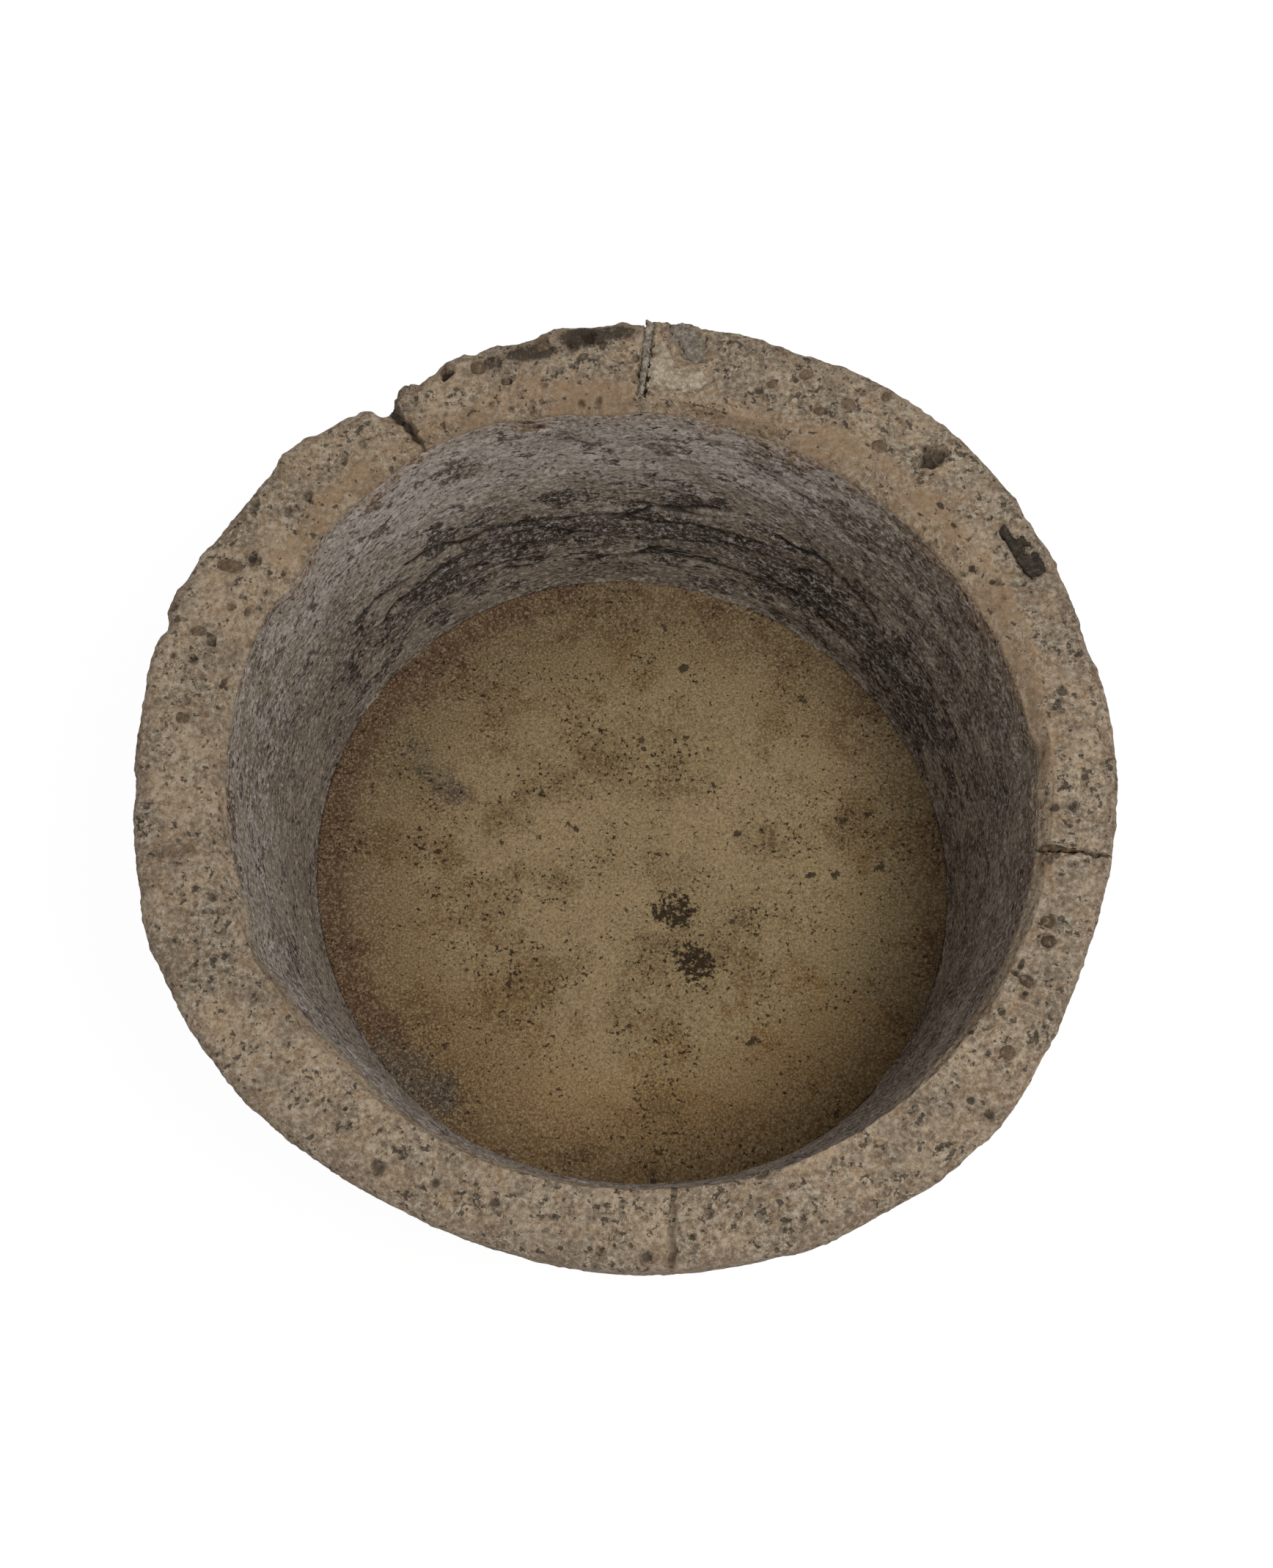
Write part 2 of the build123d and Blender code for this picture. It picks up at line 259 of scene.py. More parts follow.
# Each patch: direction, share across the rim, how far clockwise of there, and corners about that middle
patches = {
    "dark_clast": (29.3, 0.66, 0.0, [
        (-20, 25), (-15, 27), (-13, 20), (-6, 11), (0, 15), (7, 5), (1, 3), (2, -3), (6, -4),
        (10, -1), (14, -3), (17, -10), (21, -19), (20, -23), (7, -30), (-2, -22), (-10, -5), (-22, 19),
    ]),
    "back_mortar_patch": (88.0, 0.63, 44.0, [(-19, 22), (3, 22), (16, 0), (17, -20), (3, -21), (-6, -13),
        (-8, -2), (-17, 8)]),
    "back_lime_patch": (88.0, 0.26, 31.0, [
        (-27, 3), (-21, 19), (-15, 33), (-9, 31), (-4, 11), (3, -2), (18, 3),
        (32, -1), (36, -13), (18, -26), (-4, -22), (-22, -23), (-28, -16),
    ]),
}
# Each joint: direction and share at its start and at its end, and its widths there
joints = {
    "back_joint_mortar": ((88.6, -0.12), (87.0, 0.97), (5.5, 9.0)),
    "right_crack_filling": ((347.8, -0.12), (348.3, 0.42), (7.5, 5.5)),
}


def patchOutline(name):
    direction, share, clockwise, corners = patches[name]
    angle = math.radians(direction)
    middle = acrossRim(direction, share) + np.array([math.sin(angle), -math.cos(angle)]) * clockwise
    return np.array([middle + np.array(corner, float) for corner in corners])


def jointOutline(name):
    start, end, widths = joints[name]
    first, last = acrossRim(*start), acrossRim(*end)
    along = (last - first) / np.linalg.norm(last - first)
    aside = np.array([-along[1], along[0]]) / 2
    ends = ((first, widths[0]), (first, -widths[0]), (last, -widths[1]), (last, widths[1]))
    return np.array([end + aside * width for end, width in ends])


def insideDistance(corners, x, y):
    # how deep a point lies inside an outline, less than 0 outside it
    nearest = np.full(x.shape, 1e9)
    inside = np.zeros(x.shape, bool)
    for (ax, ay), (bx, by) in zip(corners, np.roll(corners, -1, axis=0)):
        edgeX, edgeY = bx - ax, by - ay
        share = np.clip(((x - ax) * edgeX + (y - ay) * edgeY) / (edgeX ** 2 + edgeY ** 2), 0, 1)
        nearest = np.minimum(nearest, np.hypot(x - ax - share * edgeX, y - ay - share * edgeY))
        crosses = (ay > y) != (by > y)
        inside ^= crosses & (x < edgeX * (y - ay) / (edgeY + 1e-12) + ax)
    return np.where(inside, nearest, -nearest)


def blob(x, y, spot):
    middleX, middleY, halfLength, halfWidth, turn, strength = spot
    angle = math.radians(turn)
    along = (x - middleX) * math.cos(angle) + (y - middleY) * math.sin(angle)
    aside = (y - middleY) * math.cos(angle) - (x - middleX) * math.sin(angle)
    return strength * (1 - ramp(0.35, 1.25, np.hypot(along / halfLength, aside / halfWidth)))


def marksAt(x, y, marks):
    # the strongest of the marks at each place
    return np.max([blob(x, y, mark) for mark in marks], axis=0)


patchSeat, jointSeat = 3.5, 5.0
seatOutlines = [(patchOutline(name), patchSeat) for name in patches]
seatOutlines += [(jointOutline(name), jointSeat) for name in joints]


def carve(points):
    # cuts, hollows and seats pressed into the rim from above, and how dark each place gets
    x, y = points[:, 0], points[:, 1]
    top = block["height"]
    level = points[:, 2].copy()
    dark = np.zeros(len(points))
    for start, end, widths, depths, shade in cuts.values():
        first, last = acrossRim(*start), acrossRim(*end)
        length = np.linalg.norm(last - first)
        along = (last - first) / length
        place = ((x - first[0]) * along[0] + (y - first[1]) * along[1]) / length
        aside = (y - first[1]) * along[0] - (x - first[0]) * along[1]
        wander = 1.1 * np.sin(place * 23 + start[0]) + 0.6 * np.sin(place * 51 + start[0])
        width = widths[0] + (widths[1] - widths[0]) * np.clip(place, 0, 1)
        depth = depths[0] + (depths[1] - depths[0]) * np.clip(place, 0, 1)
        depth = depth * ramp(-0.05, 0.04, place) * (1 - ramp(0.96, 1.05, place))
        share = np.clip(1 - np.abs(aside - wander) / (width / 2), 0, 1)
        level = np.where(share > 0, np.minimum(level, top - depth * share ** 0.8), level)
        dark = np.maximum(dark, shade * ramp(0.25, 0.9, share) * (depth > 1))
    for holeX, holeY, radius, depth, shade in hollows:
        turn = np.arctan2(y - holeY, x - holeX)
        wobble = 1 + 0.2 * np.sin(3 * turn + holeX) + 0.14 * np.sin(5 * turn + holeY)
        away = np.hypot(x - holeX, y - holeY) / radius * wobble
        share = np.clip(1 - away ** 3, 0, 1)
        level = np.where(away < 1, np.minimum(level, top - 1.0 - depth * share), level)
        dark = np.maximum(dark, shade * (1 - ramp(0.55, 1.05, away)))
    for nubX, nubY, radius in nubs:
        ring = np.exp(-((np.hypot(x - nubX, y - nubY) / radius - 1) / 0.22) ** 2)
        level = level - 3.0 * ring
        dark = np.maximum(dark, 0.45 * ring)
    for direction, share, longSide, wideSide, turn, shade in pebbles:
        spotX, spotY = acrossRim(direction, share)
        half = pebbleSize / 2
        away = blob(x, y, (spotX, spotY, half * longSide * 1.15, half * wideSide * 1.15, turn, 1.0))
        level = level - 3.0 * away
        dark = np.maximum(dark, (0.2 + 0.5 * shade) * away)
    for outline, sunk in seatOutlines:
        near = (np.abs(x - outline[:, 0].mean()) < 80) & (np.abs(y - outline[:, 1].mean()) < 80)
        inside = insideDistance(outline, x[near], y[near])
        level[near] -= sunk * ramp(-1.5, 1.5, inside)
    return level, dark


def ringStack(name, rings, masks):
    # closed surface through rings of points; a ring may have half or twice the points of the last one
    starts, faces, total = [], [], 0
    for ring in rings:
        starts.append(total)
        total += len(ring["points"])
    for lower, upper, a, b in zip(rings, rings[1:], starts, starts[1:]):
        n, m = len(lower["points"]), len(upper["points"])
        i = np.arange(min(n, m) if 1 not in (n, m) else max(n, m))
        j = (i + 1) % len(i)
        if n == 1:
            faces += np.column_stack((np.full_like(i, a), b + j, b + i)).tolist()
        elif m == 1:
            faces += np.column_stack((a + i, a + j, np.full_like(i, b))).tolist()
        elif n == m:
            faces += np.column_stack((a + i, a + j, b + j, b + i)).tolist()
        elif n == 2 * m:
            faces += np.column_stack((a + 2 * i, a + 2 * i + 1, b + i)).tolist()
            faces += np.column_stack((a + 2 * i + 1, b + j, b + i)).tolist()
            faces += np.column_stack((a + 2 * i + 1, a + 2 * j, b + j)).tolist()
        else:
            faces += np.column_stack((a + i, a + j, b + 2 * i + 1)).tolist()
            faces += np.column_stack((a + i, b + 2 * i + 1, b + 2 * i)).tolist()
            faces += np.column_stack((a + j, b + 2 * j, b + 2 * i + 1)).tolist()
    values = {}
    for mask in masks:
        spread = [np.broadcast_to(ring.get(mask, 0.0), len(ring["points"])) for ring in rings]
        values[mask] = np.concatenate(spread)
    return meshPiece(name, np.vstack([ring["points"] for ring in rings]), faces, values)


def addObject(name, data):
    thing = bpy.data.objects.new(name, data)
    bpy.context.scene.collection.objects.link(thing)
    return thing


def meshPiece(name, points, faces, values):
    placed = (points + np.array([block["offset"][0], block["offset"][1], 0])) * mm
    mesh = bpy.data.meshes.new(name)
    mesh.from_pydata(placed.tolist(), [], faces)
    mesh.validate()
    mesh.shade_smooth()
    rest = mesh.attributes.new("restPosition", "FLOAT_VECTOR", "POINT")
    rest.data.foreach_set("vector", placed.astype(np.float32).ravel())
    for mask, value in values.items():
        mesh.attributes.new(mask, "FLOAT", "POINT").data.foreach_set("value", np.asarray(value, np.float32))
    return addObject(name, mesh)


def addNode(tree, kind, settings=None, inputs=None):
    node = tree.nodes.new(kind)
    for name, value in (settings or {}).items():
        if name == "stops":
            while len(node.color_ramp.elements) < len(value):
                node.color_ramp.elements.new(0.5)
            for element, (position, colour) in zip(node.color_ramp.elements, value):
                element.position = position
                element.color = paint(colour)
        else:
            setattr(node, name, value)
    for name, value in (inputs or {}).items():
        if isinstance(value, bpy.types.Node):
            value = next(socket for socket in value.outputs if socket.enabled)
        if isinstance(value, bpy.types.NodeSocket):
            tree.links.new(value, node.inputs[name])
        else:
            node.inputs[name].default_value = value
    return node


def paint(colour):
    # an sRGB hex colour as the linear colour that Blender's sockets take
    parts = [int(colour[i:i + 2], 16) / 255 for i in (1, 3, 5)]
    return tuple(c / 12.92 if c <= 0.04045 else ((c + 0.055) / 1.055) ** 2.4 for c in parts) + (1.0,)


def mathNode(tree, operation, *values, clamp=False):
    return addNode(tree, "ShaderNodeMath", {"operation": operation, "use_clamp": clamp},
        dict(enumerate(values)))


def meet(tree, operation, one, other):
    return mathNode(tree, operation, one, other, clamp=True)


def linear(tree, value, low, high):
    return addNode(tree, "ShaderNodeMapRange", {}, {"Value": value, "From Min": low, "From Max": high})


def smooth(tree, value, low, high):
    settings = {"interpolation_type": "SMOOTHSTEP"}
    return addNode(tree, "ShaderNodeMapRange", settings,
        {"Value": value, "From Min": low, "From Max": high})


def painted(tree, name):
    # a mask stored on the piece's own points
    return addNode(tree, "ShaderNodeAttribute", {"attribute_name": name}).outputs["Fac"]


def scaled(tree, where, size, stretch=(1, 1, 1)):
    # places counted in one real size, given in millimetres
    factors = tuple(s / (size * mm) for s in stretch)
    return addNode(tree, "ShaderNodeVectorMath", {"operation": "MULTIPLY"}, {0: where, 1: factors})


def noiseAt(tree, where, size, detail, roughness, stretch=(1, 1, 1)):
    placed = scaled(tree, where, size, stretch)
    return addNode(tree, "ShaderNodeTexNoise", {}, {
        "Vector": placed, "Scale": 1.0, "Detail": detail, "Roughness": roughness})


def ridge(tree, where, size, detail=3.0, roughness=0.6, stretch=(1, 1, 1), low=0.35, high=0.65):
    # a noise mask at a real size in millimetres, from 0 to 1
    return smooth(tree, noiseAt(tree, where, size, detail, roughness, stretch), low, high)


def cells(tree, where, size, feature="F1"):
    placed = scaled(tree, where, size)
    return addNode(tree, "ShaderNodeTexVoronoi", {"feature": feature}, {"Vector": placed, "Scale": 1.0})


def blendColours(tree, share, first, second):
    # each colour is an sRGB hex or a socket
    first, second = (paint(colour) if isinstance(colour, str) else colour for colour in (first, second))
    return addNode(tree, "ShaderNodeMix", {"data_type": "RGBA"}, {0: share, 6: first, 7: second})


def coat(tree, under, colour, mask, strength):
    # lays a colour over another where the mask says
    return blendColours(tree, meet(tree, "MULTIPLY", mask, strength), under, colour)


def masked(tree, name, noise, low, high, swing):
    # a painted mask whose edge is broken up by a noise
    mask = painted(tree, name)
    shifted = mathNode(tree, "MULTIPLY_ADD", noise, swing, -swing / 2)
    return smooth(tree, mathNode(tree, "ADD", mask, shifted), low, high)


def clearTree(owner):
    owner.use_nodes = True
    owner.node_tree.nodes.clear()
    return owner.node_tree


def weatheringTree():
    # relief of a worn stone surface: slow lumps, grain, proud clasts and open pits
    tree = bpy.data.node_groups.new("weathered surface", "GeometryNodeTree")
    tree.interface.new_socket("Geometry", in_out="INPUT", socket_type="NodeSocketGeometry")
    for name, value in (
        ("Lump size", 0.04), ("Lump height", 0.001), ("Grain size", 0.006), ("Grain height", 0.0004),
        ("Clast size", 0.011), ("Clast height", 0.0005), ("Pit size", 0.016), ("Pit depth", 0.002),
        ("Sunk", 0.0), ("Seed", 1.0),
    ):
        tree.interface.new_socket(name, in_out="INPUT", socket_type="NodeSocketFloat").default_value = value
    stretch = tree.interface.new_socket("Stretch", in_out="INPUT", socket_type="NodeSocketVector")
    stretch.default_value = (1, 1, 1)
    tree.interface.new_socket("Material", in_out="INPUT", socket_type="NodeSocketMaterial")
    tree.interface.new_socket("Geometry", in_out="OUTPUT", socket_type="NodeSocketGeometry")
    given = addNode(tree, "NodeGroupInput")
    rest = addNode(tree, "GeometryNodeInputNamedAttribute", {"data_type": "FLOAT_VECTOR"},
        {"Name": "restPosition"})
    amount = addNode(tree, "GeometryNodeInputNamedAttribute", {"data_type": "FLOAT"},
        {"Name": "weatherAmount"})
    where = addNode(tree, "ShaderNodeVectorMath", {"operation": "MULTIPLY"},
        {0: rest, 1: given.outputs["Stretch"]})
    where = addNode(tree, "ShaderNodeVectorMath", {"operation": "ADD"},
        {0: where, 1: given.outputs["Seed"]})

    def scaleOf(size):
        return mathNode(tree, "DIVIDE", 1.0, given.outputs[size])

    total = mathNode(tree, "MULTIPLY", given.outputs["Sunk"], -1.0)
    for size, height, detail in (("Lump size", "Lump height", 2.0), ("Grain size", "Grain height", 3.0)):
        noise = addNode(tree, "ShaderNodeTexNoise", {},
            {"Vector": where, "Scale": scaleOf(size), "Detail": detail, "Roughness": 0.6})
        swing = addNode(tree, "ShaderNodeMapRange", {"clamp": False},
            {"Value": noise, "From Min": 0.25, "From Max": 0.75, "To Min": -1.0, "To Max": 1.0})
        total = mathNode(tree, "MULTIPLY_ADD", swing, given.outputs[height], total)
    clast = addNode(tree, "ShaderNodeTexVoronoi", {}, {"Vector": where, "Scale": scaleOf("Clast size")})
    dome = smooth(tree, clast.outputs["Distance"], 0.50, 0.18)
    total = mathNode(tree, "MULTIPLY_ADD", dome, given.outputs["Clast height"], total)
    pit = addNode(tree, "ShaderNodeTexVoronoi", {}, {"Vector": where, "Scale": scaleOf("Pit size")})
    chance = addNode(tree, "ShaderNodeSeparateXYZ", {}, {"Vector": pit.outputs["Color"]})
    wide = addNode(tree, "ShaderNodeMapRange", {}, {"Value": chance.outputs["X"], "From Min": 0.72,
        "From Max": 1.0, "To Min": 0.0, "To Max": 0.34})
    bowl = mathNode(tree, "SUBTRACT", wide, pit.outputs["Distance"])
    bowl = smooth(tree, bowl, 0.0, 0.16)
    depth = mathNode(tree, "MULTIPLY", bowl, given.outputs["Pit depth"])
    total = mathNode(tree, "SUBTRACT", total, depth)
    total = mathNode(tree, "MULTIPLY", total, amount)
    normal = addNode(tree, "GeometryNodeInputNormal")
    move = addNode(tree, "ShaderNodeVectorMath", {"operation": "SCALE"}, {0: normal, "Scale": total})
    stored = addNode(tree, "GeometryNodeStoreNamedAttribute", {"data_type": "FLOAT", "domain": "POINT"}, {
        "Geometry": given.outputs["Geometry"], "Name": "pitShade", "Value": bowl})
    moved = addNode(tree, "GeometryNodeSetPosition", {}, {"Geometry": stored, "Offset": move})
    real = addNode(tree, "GeometryNodeRealizeInstances", {}, {"Geometry": moved})
    coated = addNode(tree, "GeometryNodeSetMaterial", {},
        {"Geometry": real, "Material": given.outputs["Material"]})
    addNode(tree, "NodeGroupOutput", {}, {"Geometry": coated})
    return tree


def runTree(piece, tree, values):
    # runs a tree on the piece and keeps its result as the piece's plain mesh
    modifier = piece.modifiers.new(tree.name, "NODES")
    modifier.node_group = tree
    for socket in tree.interface.items_tree:
        if socket.item_type == "SOCKET" and socket.in_out == "INPUT" and socket.name in values:
            modifier[socket.identifier] = values[socket.name]
    evaluated = piece.evaluated_get(bpy.context.evaluated_depsgraph_get())
    mesh = bpy.data.meshes.new_from_object(evaluated)
    piece.modifiers.remove(modifier)
    piece.data = mesh
    mesh.name = piece.name
    mesh.shade_smooth()
    return piece


def weather(piece, material, seed, lump, grain, clast, pit, sunk=0.0, stretch=None):
    # lumps, grain, clasts and pits each have their size and height in metres
    values = {"Material": material, "Seed": seed, "Sunk": sunk, "Pit size": pit[0], "Pit depth": pit[1]}
    for name, (size, height) in {"Lump": lump, "Grain": grain, "Clast": clast}.items():
        values[name + " size"] = size
        values[name + " height"] = height
    if stretch:
        values["Stretch"] = stretch
    return runTree(piece, weathering, values)


def keepInside(piece):
    # no point may leave the CAD's own box
    low, high = np.array(cadBox[0]), np.array(cadBox[1])
    points = np.empty(len(piece.data.vertices) * 3)
    piece.data.vertices.foreach_get("co", points)
    points = np.clip(points.reshape(-1, 3), low, high)
    piece.data.vertices.foreach_set("co", points.ravel())
    piece.data.update()


def startMaterial(name):
    material = bpy.data.materials.new(name)
    tree = clearTree(material)
    where = addNode(tree, "ShaderNodeAttribute", {"attribute_name": "restPosition"})
    return material, tree, where.outputs["Vector"]


def finishMaterial(tree, colour, height, relief):
    # matt, with a fine relief given in millimetres
    bump = addNode(tree, "ShaderNodeBump", {}, {"Strength": 1.0, "Distance": relief * mm, "Height": height})
    shader = addNode(tree, "ShaderNodeBsdfPrincipled", {}, {
        "Base Color": colour, "Roughness": 0.92, "IOR": 1.5, "Specular IOR Level": 0.25, "Normal": bump})
    addNode(tree, "ShaderNodeOutputMaterial", {}, {"Surface": shader})


def grainy(tree, where, colour, size, pale, dark, contrast, stretch=(1, 1, 1), zone=None):
    # broken mineral grain: pale specks and dark pores from one fractal noise, stronger inside a zone
    noise = noiseAt(tree, where, size, 6.0, 0.82, stretch)
    light = linear(tree, noise, 0.51, 0.60)
    deep = linear(tree, noise, 0.48, 0.40)
    if zone is not None:
        light = meet(tree, "MULTIPLY", light, zone)
        deep = meet(tree, "MULTIPLY", deep, zone)
    colour = coat(tree, colour, dark, deep, contrast)
    return coat(tree, colour, pale, light, contrast), noise


def pecks(tree, where, size, level, zone, shift, stretch=(1, 1, 1)):
    # irregular separate marks: the lowest places of a noise, more of them inside a zone
    softEdge = 0.035
    value = noiseAt(tree, where, size, 3.0, 0.55, stretch)
    return smooth(tree, mathNode(tree, "MULTIPLY_ADD", zone, -shift, value), level, level - softEdge)


def warped(tree, where, size, amount):
    # bends a pattern so that its cells lose their even look
    placed = addNode(tree, "ShaderNodeVectorMath", {"operation": "SCALE"},
        {0: where, "Scale": 1 / (size * mm)})
    noise = addNode(tree, "ShaderNodeTexNoise", {}, {"Vector": placed, "Scale": 1.0, "Detail": 3.0})
    centred = {0: noise.outputs["Color"], 1: (0.5, 0.5, 0.5)}
    shift = addNode(tree, "ShaderNodeVectorMath", {"operation": "SUBTRACT"}, centred)
    shift = addNode(tree, "ShaderNodeVectorMath", {"operation": "SCALE"}, {0: shift, "Scale": amount * mm})
    return addNode(tree, "ShaderNodeVectorMath", {"operation": "ADD"},
        {0: where, 1: shift}).outputs["Vector"]


def rimStone():
    # pitted calcareous stone, hand-dressed and worn: matt, granular, pale matrix round brown and grey clasts
    material, tree, where = startMaterial("hand-dressed pitted limestone")
    bent = warped(tree, where, 9, 10)
    broad = ridge(tree, where, 110, 3.0)
    patchy = ridge(tree, bent, 42, 4.0, low=0.40, high=0.60)
    small = ridge(tree, bent, 14, 4.0, low=0.46, high=0.62)
    colour = blendColours(tree, broad, "#c0a88c", "#ad9a83")
    colour = coat(tree, colour, "#6f6152", patchy, 0.55)
    colour = coat(tree, colour, "#b18f69", small, 0.4)
    edge = masked(tree, "edgeBrown", small, 0.35, 1.0, 0.5)
    colour = coat(tree, colour, "#86705e", edge, 0.5)
    ochre = masked(tree, "lipOchre", patchy, 0.05, 1.15, 0.3)
    colour = coat(tree, colour, "#ae8f6e", ochre, 0.7)
    coarse = ridge(tree, where, 48, 3.0, low=0.42, high=0.58)
    clasts = cells(tree, bent, 8.5)
    tone = addNode(tree, "ShaderNodeSeparateColor", {}, {"Color": clasts.outputs["Color"]})
    clastColour = addNode(tree, "ShaderNodeValToRGB", {"stops": [
        (0.0, "#4f463d"), (0.3, "#6f6858"), (0.5, "#7c6a4d"), (0.75, "#736d66"), (1.0, "#8b7a65")]},
        {"Fac": tone.outputs["Green"]})
    clastMask = smooth(tree, clasts.outputs["Distance"], 0.46, 0.30)
    some = linear(tree, tone.outputs["Blue"], 0.45, 0.6)
    clastMask = meet(tree, "MULTIPLY", meet(tree, "MULTIPLY", clastMask, coarse), some)
    web = cells(tree, bent, 8.5, feature="DISTANCE_TO_EDGE")
    webMask = smooth(tree, web.outputs["Distance"], 0.16, 0.02)
    webMask = meet(tree, "MULTIPLY", webMask, coarse)
    zone = mathNode(tree, "MULTIPLY_ADD", coarse, 0.3, 0.7, clamp=True)
    zone = mathNode(tree, "MULTIPLY_ADD", ochre, -0.4, zone, clamp=True)
    colour, grit = grainy(tree, where, colour, 5.5, "#ddcfb9", "#44372b", 0.74, zone=zone)
    colour = coat(tree, colour, clastColour, clastMask, 0.62)
    colour = coat(tree, colour, "#cbbca3", webMask, 0.22)
    smallPits = pecks(tree, where, 7.0, 0.345, coarse, 0.055)
    pitAttribute = painted(tree, "pitShade")
    pits = meet(tree, "MAXIMUM", smallPits, pitAttribute)
    pits = meet(tree, "MULTIPLY", pits, painted(tree, "weatherAmount"))
    colour = coat(tree, colour, "#33291f", pits, 0.72)
    stain = masked(tree, "stain", grit, 0.46, 0.60, 2.6)
    colour = coat(tree, colour, "#33291f", stain, 0.85)
    hole = painted(tree, "hollowShade")
    colour = coat(tree, colour, "#32251a", hole, 0.85)
    height = mathNode(tree, "MULTIPLY_ADD", pits, -1.0, grit)
    height = mathNode(tree, "MULTIPLY_ADD", webMask, 0.3, height)
    finishMaterial(tree, colour, height, 3.6)
    return material


def basinStone():
    # the same stone, pecked round the basin and coated with mineral crust and brown film, with painted shade
    # in a dark band across the wall and in part of the right wall's brown: matt and grey
    material, tree, where = startMaterial("pecked limestone with mineral crust")
    bent = warped(tree, where, 14, 12)
    bands = ridge(tree, bent, 90, 5.0, stretch=(0.8, 0.8, 1.3), low=0.40, high=0.60)
    smear = ridge(tree, bent, 34, 6.0, 0.72, stretch=(0.8, 0.8, 1.3), low=0.47, high=0.58)
    colour = blendColours(tree, bands, "#b0a18d", "#938370")
    crust = masked(tree, "crust", smear, 0.15, 0.9, 1.0)
    colour = coat(tree, colour, "#d9cdc4", crust, 0.88)
    # brown film, which on the right wall is partly painted shade
    brown = masked(tree, "brownFilm", smear, 0.42, 0.72, 0.9)
    colour = coat(tree, colour, "#6e573f", brown, 0.75)
    # painted shade: a dark band where the wall's undercut is shaded
    soot = masked(tree, "soot", smear, 0.15, 0.72, 0.9)
    colour = coat(tree, colour, "#33281a", soot, 0.85)
    ochre = masked(tree, "lipOchre", smear, 0.15, 1.1, 0.6)
    colour = coat(tree, colour, "#b8946c", ochre, 0.6)
    coarse = ridge(tree, where, 60, 3.0, low=0.40, high=0.60)
    colour, fleck = grainy(tree, where, colour, 4.5, "#f0e6e0", "#2a2119", 0.72, stretch=(0.85, 0.85, 1.3))
    marks = pecks(tree, where, 7.5, 0.33, coarse, 0.07, stretch=(0.65, 0.65, 1.6))
    colour = coat(tree, colour, "#1f1914", marks, 0.8)
    pitAttribute = painted(tree, "pitShade")
    colour = coat(tree, colour, "#2b241e", pitAttribute, 0.35)
    hole = painted(tree, "hollowShade")
    colour = coat(tree, colour, "#1d1711", hole, 0.9)
    slow = ridge(tree, bent, 13, 4.0, 0.65, stretch=(0.7, 0.7, 1.5), low=0.3, high=0.7)
    height = mathNode(tree, "MULTIPLY_ADD", slow, 0.35, fleck)
    height = mathNode(tree, "MULTIPLY_ADD", marks, -0.6, height)
    finishMaterial(tree, colour, height, 4.0)
    return material


def bedMortar():
    # tamped bed of lime and coarse yellow sand: matt, granular, with dark grit
    material, tree, where = startMaterial("tamped lime and sand bed")
    bent = warped(tree, where, 24, 20)
    broad = ridge(tree, bent, 170, 4.0, low=0.40, high=0.60)
    cloud = ridge(tree, bent, 70, 6.0, 0.65, low=0.46, high=0.64)
    colour = blendColours(tree, broad, "#ab926d", "#9f8963")
    ochre = masked(tree, "bedOchre", cloud, 0.1, 1.0, 0.7)
    colour = coat(tree, colour, "#a67d49", ochre, 0.72)
    colour = coat(tree, colour, "#685334", cloud, 0.55)
    # painted shade: the floor darkens towards its edge, where it meets the wall
    rim = painted(tree, "bedEdge")
    colour = coat(tree, colour, "#5a4630", rim, 0.62)
    red = masked(tree, "redEdge", cloud, 0.15, 0.9, 0.6)
    colour = coat(tree, colour, "#5e4131", red, 0.85)
    grey = masked(tree, "greySmear", cloud, 0.15, 1.0, 0.6)
    colour = coat(tree, colour, "#5c554a", grey, 0.7)
    colour, grain = grainy(tree, where, colour, 2.6, "#d3bd95", "#3b2c1b", 0.55)
    crowd = ridge(tree, where, 80, 3.0, low=0.42, high=0.62)
    grit = pecks(tree, where, 4.2, 0.345, crowd, 0.06)
    colour = coat(tree, colour, "#251c13", grit, 0.9)
    bigGrit = pecks(tree, where, 11.0, 0.31, crowd, 0.04)
    colour = coat(tree, colour, "#352b20", bigGrit, 0.8)
    clump = addNode(tree, "ShaderNodeTexNoise", {},
        {"Vector": where, "Scale": 1 / (5.5 * mm), "Detail": 5.0, "Roughness": 0.75})
    worn = masked(tree, "wornCrust", clump, 0.74, 1.0, 5.0)
    colour = coat(tree, colour, "#2b1d10", worn, 0.92)
    spot = masked(tree, "darkSpot", clump, 0.42, 0.56, 2.6)
    colour = coat(tree, colour, "#372d21", spot, 0.85)
    height = mathNode(tree, "MULTIPLY_ADD", grit, -0.3, grain)
    height = mathNode(tree, "MULTIPLY_ADD", worn, -0.5, height)
    finishMaterial(tree, colour, height, 1.6)
    return material


def fillMaterial(name, base, other, dark, pale, size, contrast):
    # small fillings and inclusions: one colour family each, with its own grain
    material, tree, where = startMaterial(name)
    cloud = ridge(tree, where, size, 4.0)
    colour = blendColours(tree, cloud, base, other)
    shade = painted(tree, "pebbleShade")
    colour = coat(tree, colour, dark, shade, 0.8)
    colour, grain = grainy(tree, where, colour, 4.5, pale, dark, contrast)
    finishMaterial(tree, colour, grain, 1.2)
    return material


def finishPiece(piece, slot, *nodes):
    keepInside(piece)
    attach(piece, "root")
    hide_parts(*nodes)


weathering = weatheringTree()


